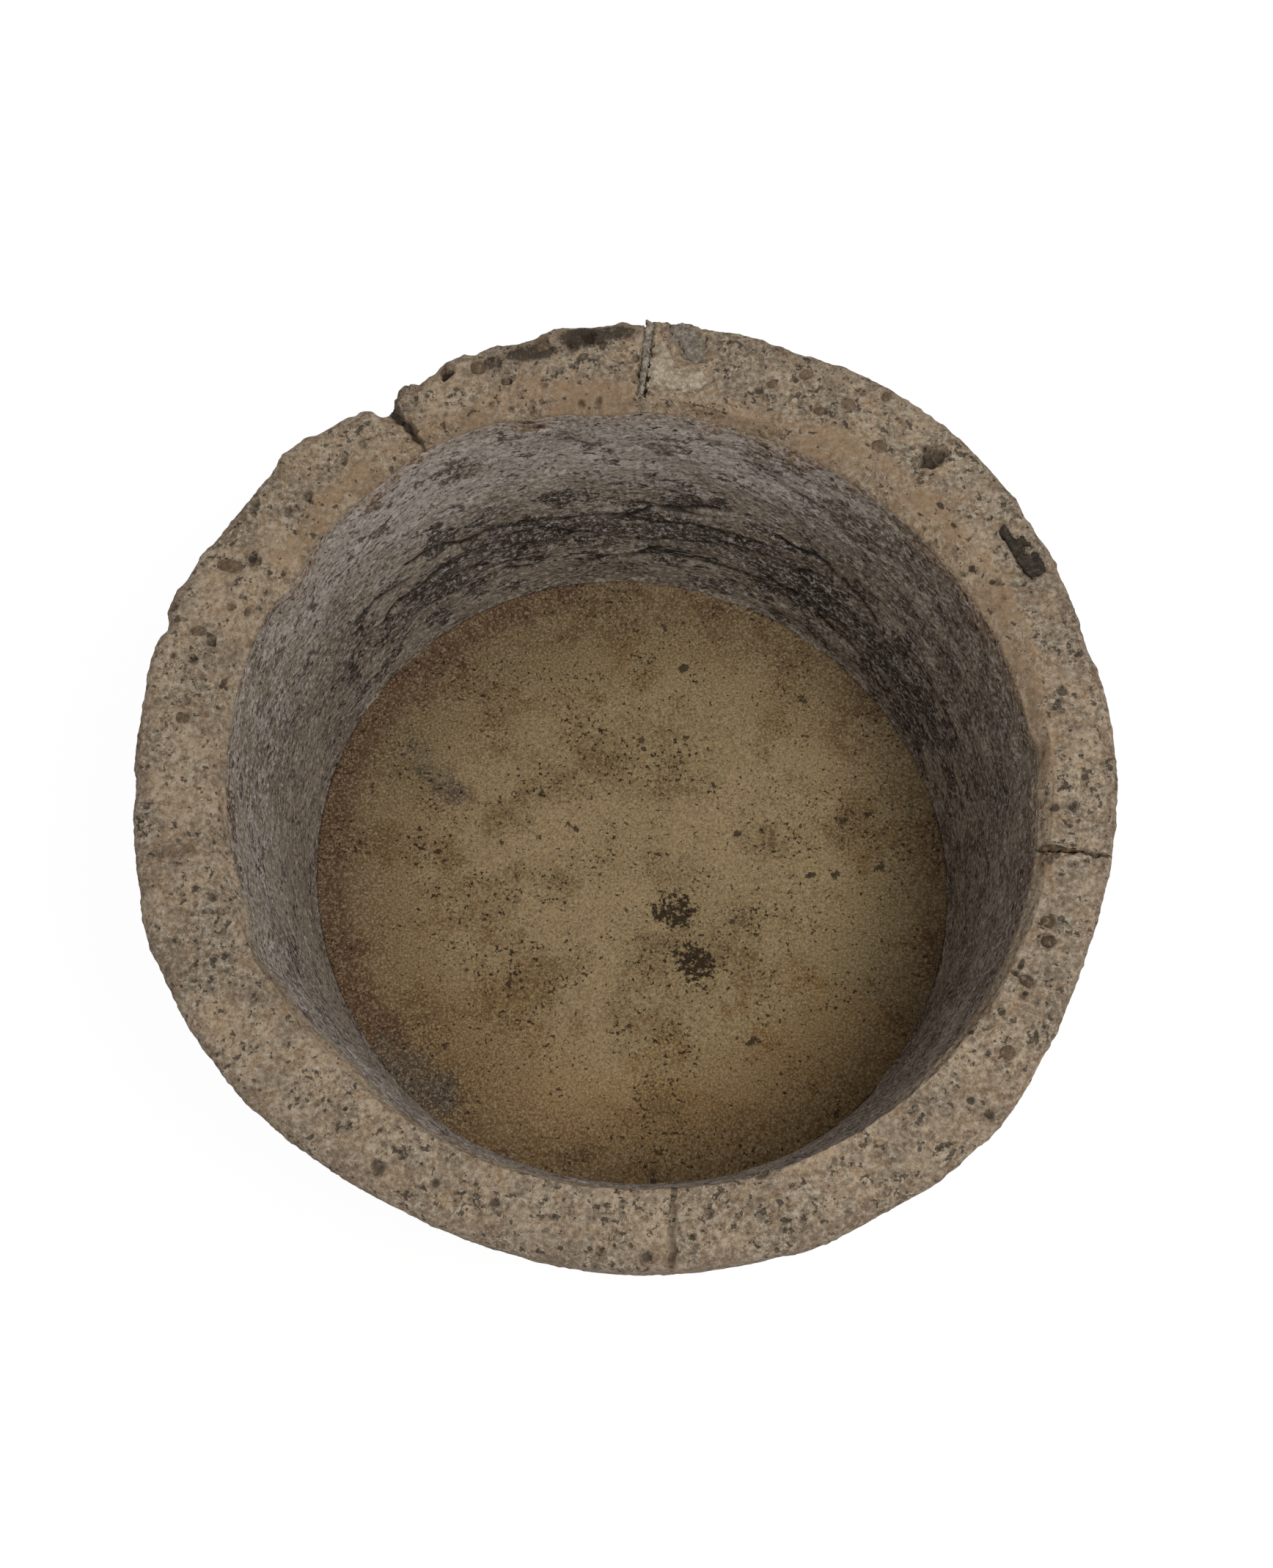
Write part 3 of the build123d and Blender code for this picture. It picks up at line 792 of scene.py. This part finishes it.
def rimRing(outerEdge, innerEdge, share, direction):
    points = innerEdge + (outerEdge - innerEdge) * share
    level, dark = carve(points)
    points = points.copy()
    points[:, 2] = level
    return {
        "points": points, "weatherAmount": 1.0, "hollowShade": dark,
        "stain": marksAt(points[:, 0], points[:, 1], stains),
        "edgeBrown": ramp(0.80, 1.02, share) * np.ones(len(points)),
        "lipOchre": (1 - ramp(-0.05, 0.30, share)) * lipTone(direction),
    }


def lipTone(direction):
    # the slope's ochre is full at the back and on the right, and faint at the front
    return 0.25 + 0.75 * knock(direction, -30, 15, 150, 215)


def buildBlock():
    masks = ("weatherAmount", "hollowShade", "stain", "edgeBrown", "lipOchre")
    top = block["height"]
    rings = [{"points": np.array([[0.0, 0.0, 0.0]])}]
    foot = around(360)
    for share in (0.4, 0.8):
        ring = outerPoints(foot, 0.0, block["footRound"])
        ring[:, :2] *= share
        rings.append({"points": ring})
    for turn in (0, 22, 45, 67, 90):
        drop = block["footRound"] * (1 - math.cos(math.radians(turn)))
        back = block["footRound"] * (1 - math.sin(math.radians(turn)))
        rings.append({"points": outerPoints(foot, drop, back), "weatherAmount": 0.3 + 0.7 * turn / 90,
            "edgeBrown": 0.6})
    (middle, lowerRings), (upper, upperRings) = grid["side"]
    for level in np.linspace(block["footRound"], middle, lowerRings)[1:]:
        rings.append({"points": outerPoints(foot, level), "weatherAmount": 1.0, "edgeBrown": 0.45})
    for level in np.linspace(middle, upper, upperRings)[1:]:
        rings.append({"points": outerPoints(around(720), level), "weatherAmount": 1.0, "edgeBrown": 0.5})
    full = directions
    for turn in (-1, 90, 68, 45, 22):
        drop = block["rimRound"] * (1 - math.cos(math.radians(turn))) if turn >= 0 else 20.0
        back = block["rimRound"] * (1 - math.sin(math.radians(turn))) if turn >= 0 else 0.0
        points = outerPoints(full, top - drop, back)
        ring = rimRing(points, points, 1.0, full)
        ring["edgeBrown"] = 0.9 if turn < 60 else 0.6
        rings.append(ring)
    outerEdge = outerPoints(full, top, block["rimRound"])
    innerEdge = lipEdge(full)
    for share in np.linspace(1, 0, grid["rimRings"]):
        rings.append(rimRing(outerEdge, innerEdge, share, full))
    wallTop = wallPoints(full, top - basin["lipDrop"])
    for share in np.linspace(0, 1, grid["lipRings"] + 1)[1:]:
        bulge = 2.5 * math.sin(math.pi * share)
        points = innerEdge + (wallTop - innerEdge) * share
        points[:, 2] += bulge
        level, dark = carve(points)
        points[:, 2] = level
        rings.append({
            "points": points, "weatherAmount": 1 - ramp(0.75, 0.98, share), "hollowShade": dark,
            "lipOchre": lipTone(full) * (1 - 0.35 * share),
            "stain": marksAt(points[:, 0], points[:, 1], stains)})
    seam = rings[-1]
    for level, count in grid["hiddenWall"]:
        rings.append({"points": wallPoints(around(count), level, basin["crustThickness"] + 3.0)})
    low = block["height"] - basin["depth"] - 2.0
    ring = wallPoints(around(180), grid["hiddenFoot"], 2.0)
    rings.append({"points": ring.copy()})
    ring[:, 2] = low
    rings.append({"points": ring})
    rings.append({"points": np.array([[basin["centre"][0], basin["centre"][1], low]])})
    piece = ringStack("trough_block_body", rings, masks)
    weather(piece, rimMaterial, 3.0,
        lump=(0.045, 0.0011), grain=(0.008, 0.0007),
        clast=(0.0105, 0.0008), pit=(0.017, 0.0028), sunk=0.0014)
    return piece, seam


wallReach = 350.0            # turns a direction on the wall into millimetres


def wallMasks(direction, level):
    # where crust and brown film lie on the basin's wall, and where painted shade darkens it: a band under
    # the undercut, and part of the right wall's brown
    floorLevel = block["height"] - basin["depth"] + bed["thickness"]
    up = (level - floorLevel) / (block["height"] - basin["lipDrop"] - floorLevel)
    back = knock(direction, 20, 60, 120, 165)
    crust = ramp(0.42, 0.80, up) * (0.45 + 0.55 * back) + 0.15 * (1 - ramp(0.05, 0.22, up)) * back
    wave = 0.05 * np.sin(np.radians(direction * 3))
    # painted shade: a dark band below the middle of the back and right walls, where the wall's undercut is
    # shaded
    soot = knock(direction, -10, 35, 125, 160) * np.exp(-((up - 0.34 + wave) / 0.20) ** 2)
    # the right wall's brown is partly its own tone and partly painted shade, as that wall is turned away
    # from the lamp
    right = knock(direction, -75, -30, 40, 75)
    filmAndShade = 0.22 + 0.6 * right + 0.25 * ramp(0.9, 1.0, up)
    crust = crust + 0.3 * knock(direction, 100, 150, 220, 265)
    for number in range(smears["count"]):
        middle = smears["first"] + number * smears["step"]
        height = smears["level"] - number % 2 * smears["lower"]
        along = np.radians((direction - middle + 180) % 360 - 180) * wallReach
        size = (0, 0, smears["halfLength"], smears["halfHeight"], 0, smears["strength"])
        filmAndShade = np.maximum(filmAndShade, blob(along, level - height, size))
    return crust, soot, filmAndShade


ledges = [
    # direction from and to, level, overhang, height of the hollow under it
    (60, 112, 236, 3.5, 16), (72, 128, 196, 4.0, 18), (44, 80, 214, 4.5, 20), (30, 58, 180, 3.5, 16),
    (100, 150, 166, 3.5, 16), (120, 160, 205, 3.0, 12), (60, 100, 158, 2.5, 12), (128, 150, 250, 2.5, 12),
    (10, 40, 236, 2.5, 12), (76, 92, 262, 2.0, 8),
]
# Brown smears in one row under the lip at the back, every other one lower
smears = {
    "first": 40, "step": 15, "count": 6, "level": 382, "lower": 24, "halfLength": 24, "halfHeight": 16,
    "strength": 1.1,
}
# Dark crevices: tiers of runs round the back, which slant up and down by turns
crevices = {"levels": (155, 205, 250), "first": 42, "shift": 14, "length": 22, "step": 33, "count": 3,
    "slant": 26}


def wallRelief(direction, level):
    inset = np.zeros(len(direction))
    dark = np.zeros(len(direction))
    for start, end, height, overhang, hollow in ledges:
        wave = 5 * np.sin(np.radians(direction * 9 + height))
        wave = wave + 3 * np.sin(np.radians(direction * 23 + height * 2))
        below = (height + wave) - level
        along = knock(direction, start, start + (end - start) * 0.3, start + (end - start) * 0.7, end)
        under = ramp(0, 3.5, below) * (1 - ramp(3.5, hollow * 1.6, below))
        lifted = 0.5 * ramp(-14, 0, below) * (1 - ramp(0, 3.5, below))
        inset += along * overhang * (under - lifted)
        dark = np.maximum(dark, 0.95 * along * ramp(-3.5, 0.5, below) * (1 - ramp(4, 12, below)))
    for tier, middle in enumerate(crevices["levels"]):
        wave = 6 * np.sin(np.radians(direction * 14 + middle)) + 3 * np.sin(np.radians(direction * 37))
        for number in range(crevices["count"]):
            start = crevices["first"] + tier % 2 * crevices["shift"] + number * crevices["step"]
            rise = crevices["slant"] * (-1) ** (tier + number)
            run = math.radians(crevices["length"]) * wallReach
            x = np.radians((direction - start + 180) % 360 - 180) * wallReach
            y = level - middle + rise / 2 + wave
            share = np.clip((x * run + y * rise) / (run ** 2 + rise ** 2), 0, 1)
            gap = np.hypot(x - share * run, y - share * rise)
            inset += 3.5 * (1 - ramp(1.5, 6.0, gap))
            dark = np.maximum(dark, 1 - ramp(1.6, 4.8, gap))
    return inset, dark


def buildWall(seam):
    masks = ("weatherAmount", "hollowShade", "crust", "soot", "brownFilm", "lipOchre")
    rings = []
    top = block["height"] - basin["lipDrop"]
    thick = basin["crustThickness"]
    for level, count in grid["crustBack"]:
        rings.append({"points": wallPoints(around(count), level, thick)})
    front = []
    first = dict(seam)
    crust, soot, filmAndShade = wallMasks(directions, top)
    first.update({"weatherAmount": 0.0, "crust": crust, "soot": soot, "brownFilm": filmAndShade,
        "lipOchre": lipTone(directions) * 0.85})
    front.append(first)
    shown = around(720)
    for level in np.linspace(top - 2.0, grid["crustFoot"], grid["wallRings"]):
        inset, dark = wallRelief(shown, level)
        fade = ramp(0, 12, top - level)
        crust, soot, filmAndShade = wallMasks(shown, level)
        front.append({
            "points": wallPoints(shown, level, inset * fade), "weatherAmount": 0.1 + 0.9 * fade,
            "hollowShade": dark * fade, "crust": crust, "soot": soot, "brownFilm": filmAndShade,
            "lipOchre": lipTone(shown) * (1 - ramp(0, 36, top - level)) * 0.85})
    rings += front
    rings.append(rings[0])
    piece = ringStack("basin_wall_crust", rings, masks)
    weather(piece, wallMaterial, 7.0,
        lump=(0.05, 0.0022), grain=(0.011, 0.0011),
        clast=(0.012, 0.0006), pit=(0.02, 0.0016), stretch=(0.7, 0.7, 1.6))
    return piece


bed = {
    "thickness": 22.0, "dish": 4.0, "wornCentre": (70.0, -67.0), "wornRadius": 52.0, "wornDepth": 8.0,
    # rings from the edge inwards: points, first and last share, and how many
    "rings": ((720, 1.0, 0.5, 58), (360, 0.49, 0.25, 28), (180, 0.24, 0.12, 14), (90, 0.115, 0.05, 8),
        (45, 0.035, 0.015, 2)),
    # each of these is x, y, half length, half width, turn and strength
    "wornCrusts": [(50, -50, 34, 26, 10, 1.0), (72, -106, 36, 26, -38, 1.0), (110, -70, 40, 30, 0, 0.3),
        (20, -80, 30, 30, 0, 0.3)],
    "greySmears": [(-208, 108, 75, 26, -50, 0.75), (-215, -240, 90, 44, -48, 0.8),
        (-150, -200, 70, 44, -40, 0.4), (190, 20, 50, 40, 20, 0.3)],
    "spots": [
        (62, 222, 8, 6, 20, 1.0), (-63, 45, 5, 3.5, 30, 0.9), (-54, 39, 5, 4, 0, 0.9),
        (117, 34, 7, 5, 10, 0.9), (194, -12, 7, 5, 0, 0.9), (221, -12, 6, 5, 40, 0.9),
        (189, 184, 8, 5, 0, 0.6), (231, 47, 9, 5, 50, 0.8), (268, -2, 8, 5, 60, 0.8),
        (258, 55, 7, 4, 20, 0.8), (64, 142, 5, 4, 0, 0.8), (-200, 14, 6, 4, 0, 0.8),
        (-94, 30, 4, 3, 0, 0.8), (-57, 96, 4, 3, 0, 0.7), (131, -190, 12, 6, 20, 0.7),
        (10, 265, 6, 4, 0, 0.8), (238, 22, 52, 40, 10, 0.22), (215, 70, 30, 25, 0, 0.2),
        (-60, 40, 60, 50, 0, 0.12), (60, -80, 90, 80, 0, 0.14), (-150, -60, 5, 3, 0, 0.6),
        (-20, -150, 5, 4, 0, 0.6),
    ],
}


def buildBed():
    masks = ("weatherAmount", "redEdge", "greySmear", "wornCrust", "darkSpot", "bedEdge", "bedOchre")
    bottom = block["height"] - basin["depth"]
    top = bottom + bed["thickness"]
    centre = np.array(basin["centre"])
    wallEdge = wallPoints(around(720), top, 0.6)

    def bedRing(count, share):
        rim = wallEdge[:: 720 // count]
        points = np.column_stack((centre + (rim[:, :2] - centre) * share, np.zeros(count)))
        x, y = points[:, 0], points[:, 1]
        away = np.hypot(x - bed["wornCentre"][0], y - bed["wornCentre"][1]) / bed["wornRadius"]
        worn = bed["wornDepth"] * (1 - ramp(0.1, 1.0, away)) * 0.9
        points[:, 2] = top - bed["dish"] * (1 - share ** 2) - worn
        points[:, 2] += 2.0 * ramp(0.985, 1.0, share)
        angle = np.degrees(np.arctan2(y, x)) % 360
        left = knock(angle, 70, 120, 225, 262)
        # the edge band is painted shade towards the wall, reaching further in on the left
        return {
            "points": points, "weatherAmount": 1 - ramp(0.97, 1.0, share),
            "redEdge": ramp(0.80, 0.95, share) * (0.25 + 0.75 * left),
            "greySmear": marksAt(x, y, bed["greySmears"]), "wornCrust": marksAt(x, y, bed["wornCrusts"]),
            "darkSpot": marksAt(x, y, bed["spots"]), "bedEdge": ramp(0.62 - 0.25 * left, 1.02, share),
            "bedOchre": ramp(0.2, 0.85, share) * (0.4 + 0.6 * knock(angle, 150, 235, 305, 385))}

    rings = [{"points": np.array([[centre[0], centre[1], bottom + 0.5]])}]
    for share in (0.5, 0.97):
        ring = bedRing(360, share)["points"]
        ring[:, 2] = bottom + 0.5
        rings.append({"points": ring})
    for count, first, final, number in bed["rings"]:
        rings += [bedRing(count, share) for share in np.linspace(first, final, number)]
    last = bedRing(45, 0.0)
    last = {key: (value[:1] if isinstance(value, np.ndarray) else value) for key, value in last.items()}
    rings.append(last)
    piece = ringStack("floor_bed_mortar", rings, masks)
    weather(piece, bedMaterial, 11.0,
        lump=(0.06, 0.0007), grain=(0.006, 0.0003),
        clast=(0.006, 0.0002), pit=(0.02, 0.0006))
    return piece


# Fillings and inclusions set nearly flush into the rim. In millimetres: the grid's cell, how far and how
# wide the edge falls away, how deep the underside lies, how far the top stands above the rim (below it when
# less than 0), how far the outline grows and how ragged it is
slabs = {
    "dark_clast": {
        "name": "dark_clast_inclusion", "slot": "dark_stone",
        "cell": 1.0, "edgeDrop": 2.4, "edgeWidth": 2.0, "underside": 6.0,
        "proud": -0.6, "swell": -0.3, "rough": 0.6,
        "material": ("fine-grained dark stone", "#38312a", "#2b2620", "#191512", "#62513f", 12, 0.6)},
    "back_mortar_patch": {
        "name": "mortar_patch_smoothed", "slot": "grey_mortar",
        "cell": 1.2, "edgeDrop": 2.6, "edgeWidth": 9.0, "underside": 6.0,
        "proud": -0.8, "swell": 0.6, "rough": 1.6,
        "material": ("smoothed cement mortar", "#857b6e", "#736a5e", "#4e463d", "#b3a896", 14, 0.7)},
    "back_lime_patch": {
        "name": "lime_patch_rough", "slot": "pale_lime",
        "cell": 1.2, "edgeDrop": 2.6, "edgeWidth": 9.0, "underside": 6.0,
        "proud": -0.8, "swell": 0.6, "rough": 1.6,
        "material": ("lime putty", "#ab9b86", "#988972", "#695c4b", "#d9cdb9", 12, 0.6)},
    "back_joint_mortar": {
        "name": "joint_mortar_ribbed", "slot": "grey_mortar",
        "cell": 0.8, "edgeDrop": 2.6, "edgeWidth": 3.0, "underside": 8.0,
        "proud": -1.5, "swell": 0.2, "rough": 0.55,
        "material": ("old grey joint mortar", "#9a8e80", "#7b7165", "#4b433a", "#c6baa8", 8, 0.7)},
    "right_crack_filling": {
        "name": "crack_filling_brown", "slot": "brown_filling",
        "cell": 0.8, "edgeDrop": 2.0, "edgeWidth": 2.0, "underside": 8.0,
        "proud": -2.6, "swell": -0.4, "rough": 0.5,
        "material": ("brown earth filling", "#5b4836", "#4a3a2b", "#2f251b", "#7f6a50", 7, 0.6)},
}


def slabPiece(node):
    # a flush patch on a square grid, cut to its outline, whose top falls away at the edge
    slab, cell = slabs[node], slabs[node]["cell"]
    outline = patchOutline(node) if node in patches else jointOutline(node)
    material = fillMaterial(*slab["material"])
    low, high = outline.min(0) - 3, outline.max(0) + 3
    xs, ys = np.arange(low[0], high[0], cell), np.arange(low[1], high[1], cell)
    gridX, gridY = np.meshgrid(xs, ys, indexing="ij")
    ragged = np.sin(gridX * 0.62 + gridY * 0.35) + np.sin(gridY * 0.51 - gridX * 0.27 + 2)
    ragged = ragged + 0.7 * np.sin(gridX * 1.3 + 1) * np.sin(gridY * 1.15)
    inside = insideDistance(outline, gridX, gridY) + slab["swell"] + slab["rough"] * ragged
    kept = inside > -0.3 * cell
    keep = kept[:-1, :-1] & kept[1:, :-1] & kept[:-1, 1:] & kept[1:, 1:]
    used = -np.ones(gridX.shape, int)
    cellI, cellJ = np.nonzero(keep)
    corners = [np.ravel_multi_index((cellI + a, cellJ + b), gridX.shape) for a in (0, 1) for b in (0, 1)]
    corners = np.unique(np.concatenate(corners))
    used.ravel()[corners] = np.arange(len(corners))
    x, y = gridX.ravel()[corners], gridY.ravel()[corners]
    depth = inside.ravel()[corners]
    level = block["height"] + slab["proud"] - slab["edgeDrop"] * (1 - ramp(0, slab["edgeWidth"], depth))
    count = len(corners)
    a, b = used[cellI, cellJ], used[cellI + 1, cellJ]
    c, d = used[cellI + 1, cellJ + 1], used[cellI, cellJ + 1]
    faces = np.column_stack((a, b, c, d)).tolist() + (np.column_stack((d, c, b, a)) + count).tolist()
    edges = {}
    for quad in np.column_stack((a, b, c, d)).tolist():
        for first, second in zip(quad, quad[1:] + quad[:1]):
            edges[(first, second)] = True
    for first, second in edges:
        if (second, first) not in edges:
            faces.append([second, first, first + count, second + count])
    upper = np.column_stack((x, y, level))
    lower = np.column_stack((x, y, np.full(count, block["height"] - slab["underside"])))
    amount = np.concatenate((np.ones(count), np.zeros(count)))
    piece = meshPiece(slab["name"], np.vstack((upper, lower)), faces, {"weatherAmount": amount})
    weather(piece, material, 5.0,
        lump=(0.018, 0.0006), grain=(0.005, 0.0004),
        clast=(0.008, 0.0002), pit=(0.014, 0.0008))
    return piece


def buildPebbles():
    points, faces, amounts, shades = [], [], [], []
    count = 0
    form = bmesh.new()
    bmesh.ops.create_icosphere(form, subdivisions=3, radius=1.0)
    ball = np.array([vertex.co for vertex in form.verts])
    ballFaces = np.array([[vertex.index for vertex in face.verts] for face in form.faces])
    form.free()
    flat = np.sign(ball) * np.abs(ball) ** 0.85
    for direction, share, longSide, wideSide, turn, shade in pebbles:
        spotX, spotY = acrossRim(direction, share)
        angle = math.radians(turn)
        half = pebbleSize / 2
        local = flat * np.array([half * longSide, half * wideSide, pebbleHalfHeight])
        x = spotX + local[:, 0] * math.cos(angle) - local[:, 1] * math.sin(angle)
        y = spotY + local[:, 0] * math.sin(angle) + local[:, 1] * math.cos(angle)
        z = block["height"] - pebbleSunk + local[:, 2]
        points.append(np.column_stack((x, y, z)))
        faces += (ballFaces + count).tolist()
        amounts.append(np.ones(len(ball)))
        shades.append(np.full(len(ball), shade))
        count += len(ball)
    piece = meshPiece("rim_pebbles_bedded", np.vstack(points), faces,
        {"weatherAmount": np.concatenate(amounts), "pebbleShade": np.concatenate(shades)})
    weather(piece, pebbleMaterial, 2.0,
        lump=(0.009, 0.0009), grain=(0.003, 0.0003),
        clast=(0.006, 0.0002), pit=(0.012, 0.0004))
    return piece


rimMaterial = rimStone()
wallMaterial = basinStone()
bedMaterial = bedMortar()
pebbleMaterial = fillMaterial("rounded brown pebble", "#77634e", "#665543", "#43362a", "#9b866b", 9, 0.6)
print("materials ready")

troughBody, seamRing = buildBlock()
finishPiece(troughBody, "carved_stone", "trough_block")
print("block carved:", len(troughBody.data.vertices), "points")
wallPiece = buildWall(seamRing)
keepInside(wallPiece)
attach(wallPiece, "root")
print("basin wall pecked")
finishPiece(buildBed(), "floor_bed_mortar", "floor_bed")
finishPiece(buildPebbles(), "brown_pebble", "rim_pebbles")
for slabNode, slabValues in slabs.items():
    finishPiece(slabPiece(slabNode), slabValues["slot"], slabNode)
print("fillings set")


studio = {"reach": 6.0, "paper": "#e9e9e9", "glow": 1.08, "glowShare": 0.88, "fill": 0.435}
softbox = {"place": (1.05, -0.62, 2.90), "aim": (0.0, 0.0, 0.2), "size": 1.3, "power": 45.0}
view = {"elevation": 72.0, "target": (0.0103, -0.0220, 0.430), "distance": 1.9653, "lens": 50, "sensor": 36}


def seenDirectly(tree):
    # 1 for rays from the camera, from mirrors and through glass, and 0 for rays that only light
    path = addNode(tree, "ShaderNodeLightPath")
    seen = meet(tree, "MAXIMUM", path.outputs["Is Camera Ray"], path.outputs["Is Glossy Ray"])
    return meet(tree, "MAXIMUM", seen, path.outputs["Is Transmission Ray"])


def buildStage():
    mesh = bpy.data.meshes.new("studio floor")
    far = studio["reach"]
    mesh.from_pydata([(-far, -far, 0), (far, -far, 0), (far, far, 0), (-far, far, 0)], [], [(0, 1, 2, 3)])
    floor = addObject("studio floor", mesh)
    material = bpy.data.materials.new("white studio paper")
    tree = clearTree(material)
    share = meet(tree, "MULTIPLY", seenDirectly(tree), studio["glowShare"])
    paper = addNode(tree, "ShaderNodeBsdfDiffuse", {}, {"Color": paint(studio["paper"])})
    glow = addNode(tree, "ShaderNodeEmission", {}, {"Color": paint("#ffffff"), "Strength": studio["glow"]})
    mixed = addNode(tree, "ShaderNodeMixShader", {}, {0: share, 1: paper, 2: glow})
    addNode(tree, "ShaderNodeOutputMaterial", {}, {"Surface": mixed})
    mesh.materials.append(material)


def buildLight():
    world = bpy.data.worlds.new("studio")
    bpy.context.scene.world = world
    tree = clearTree(world)
    seen = seenDirectly(tree)
    fill = addNode(tree, "ShaderNodeBackground", {},
        {"Color": paint("#ffffff"), "Strength": studio["fill"]})
    white = addNode(tree, "ShaderNodeBackground", {}, {"Color": paint("#ffffff"), "Strength": 1.0})
    mixed = addNode(tree, "ShaderNodeMixShader", {}, {0: seen, 1: fill, 2: white})
    addNode(tree, "ShaderNodeOutputWorld", {}, {"Surface": mixed})
    lamp = bpy.data.lights.new("overhead softbox", "AREA")
    lamp.energy = softbox["power"]
    lamp.shape = "DISK"
    lamp.size = softbox["size"]
    lampObject = addObject("overhead softbox", lamp)
    lampObject.location = softbox["place"]
    aim = Vector(softbox["aim"]) - Vector(softbox["place"])
    lampObject.rotation_euler = aim.to_track_quat("-Z", "Y").to_euler()
    lampObject.visible_camera = False


def buildCamera():
    lens = bpy.data.cameras.new("photo camera")
    lens.lens = view["lens"]
    lens.sensor_width = view["sensor"]
    lens.sensor_fit = "AUTO"
    camera = addObject("photo camera", lens)
    tilt = math.radians(view["elevation"])
    away = Vector((0, -math.cos(tilt), math.sin(tilt)))
    camera.location = Vector(view["target"]) + view["distance"] * away
    camera.rotation_euler = (math.pi / 2 - tilt, 0, 0)
    bpy.context.scene.camera = camera


buildStage()
buildLight()
buildCamera()
bpy.context.scene.view_settings.view_transform = "Standard"
print("stage, light and camera ready")
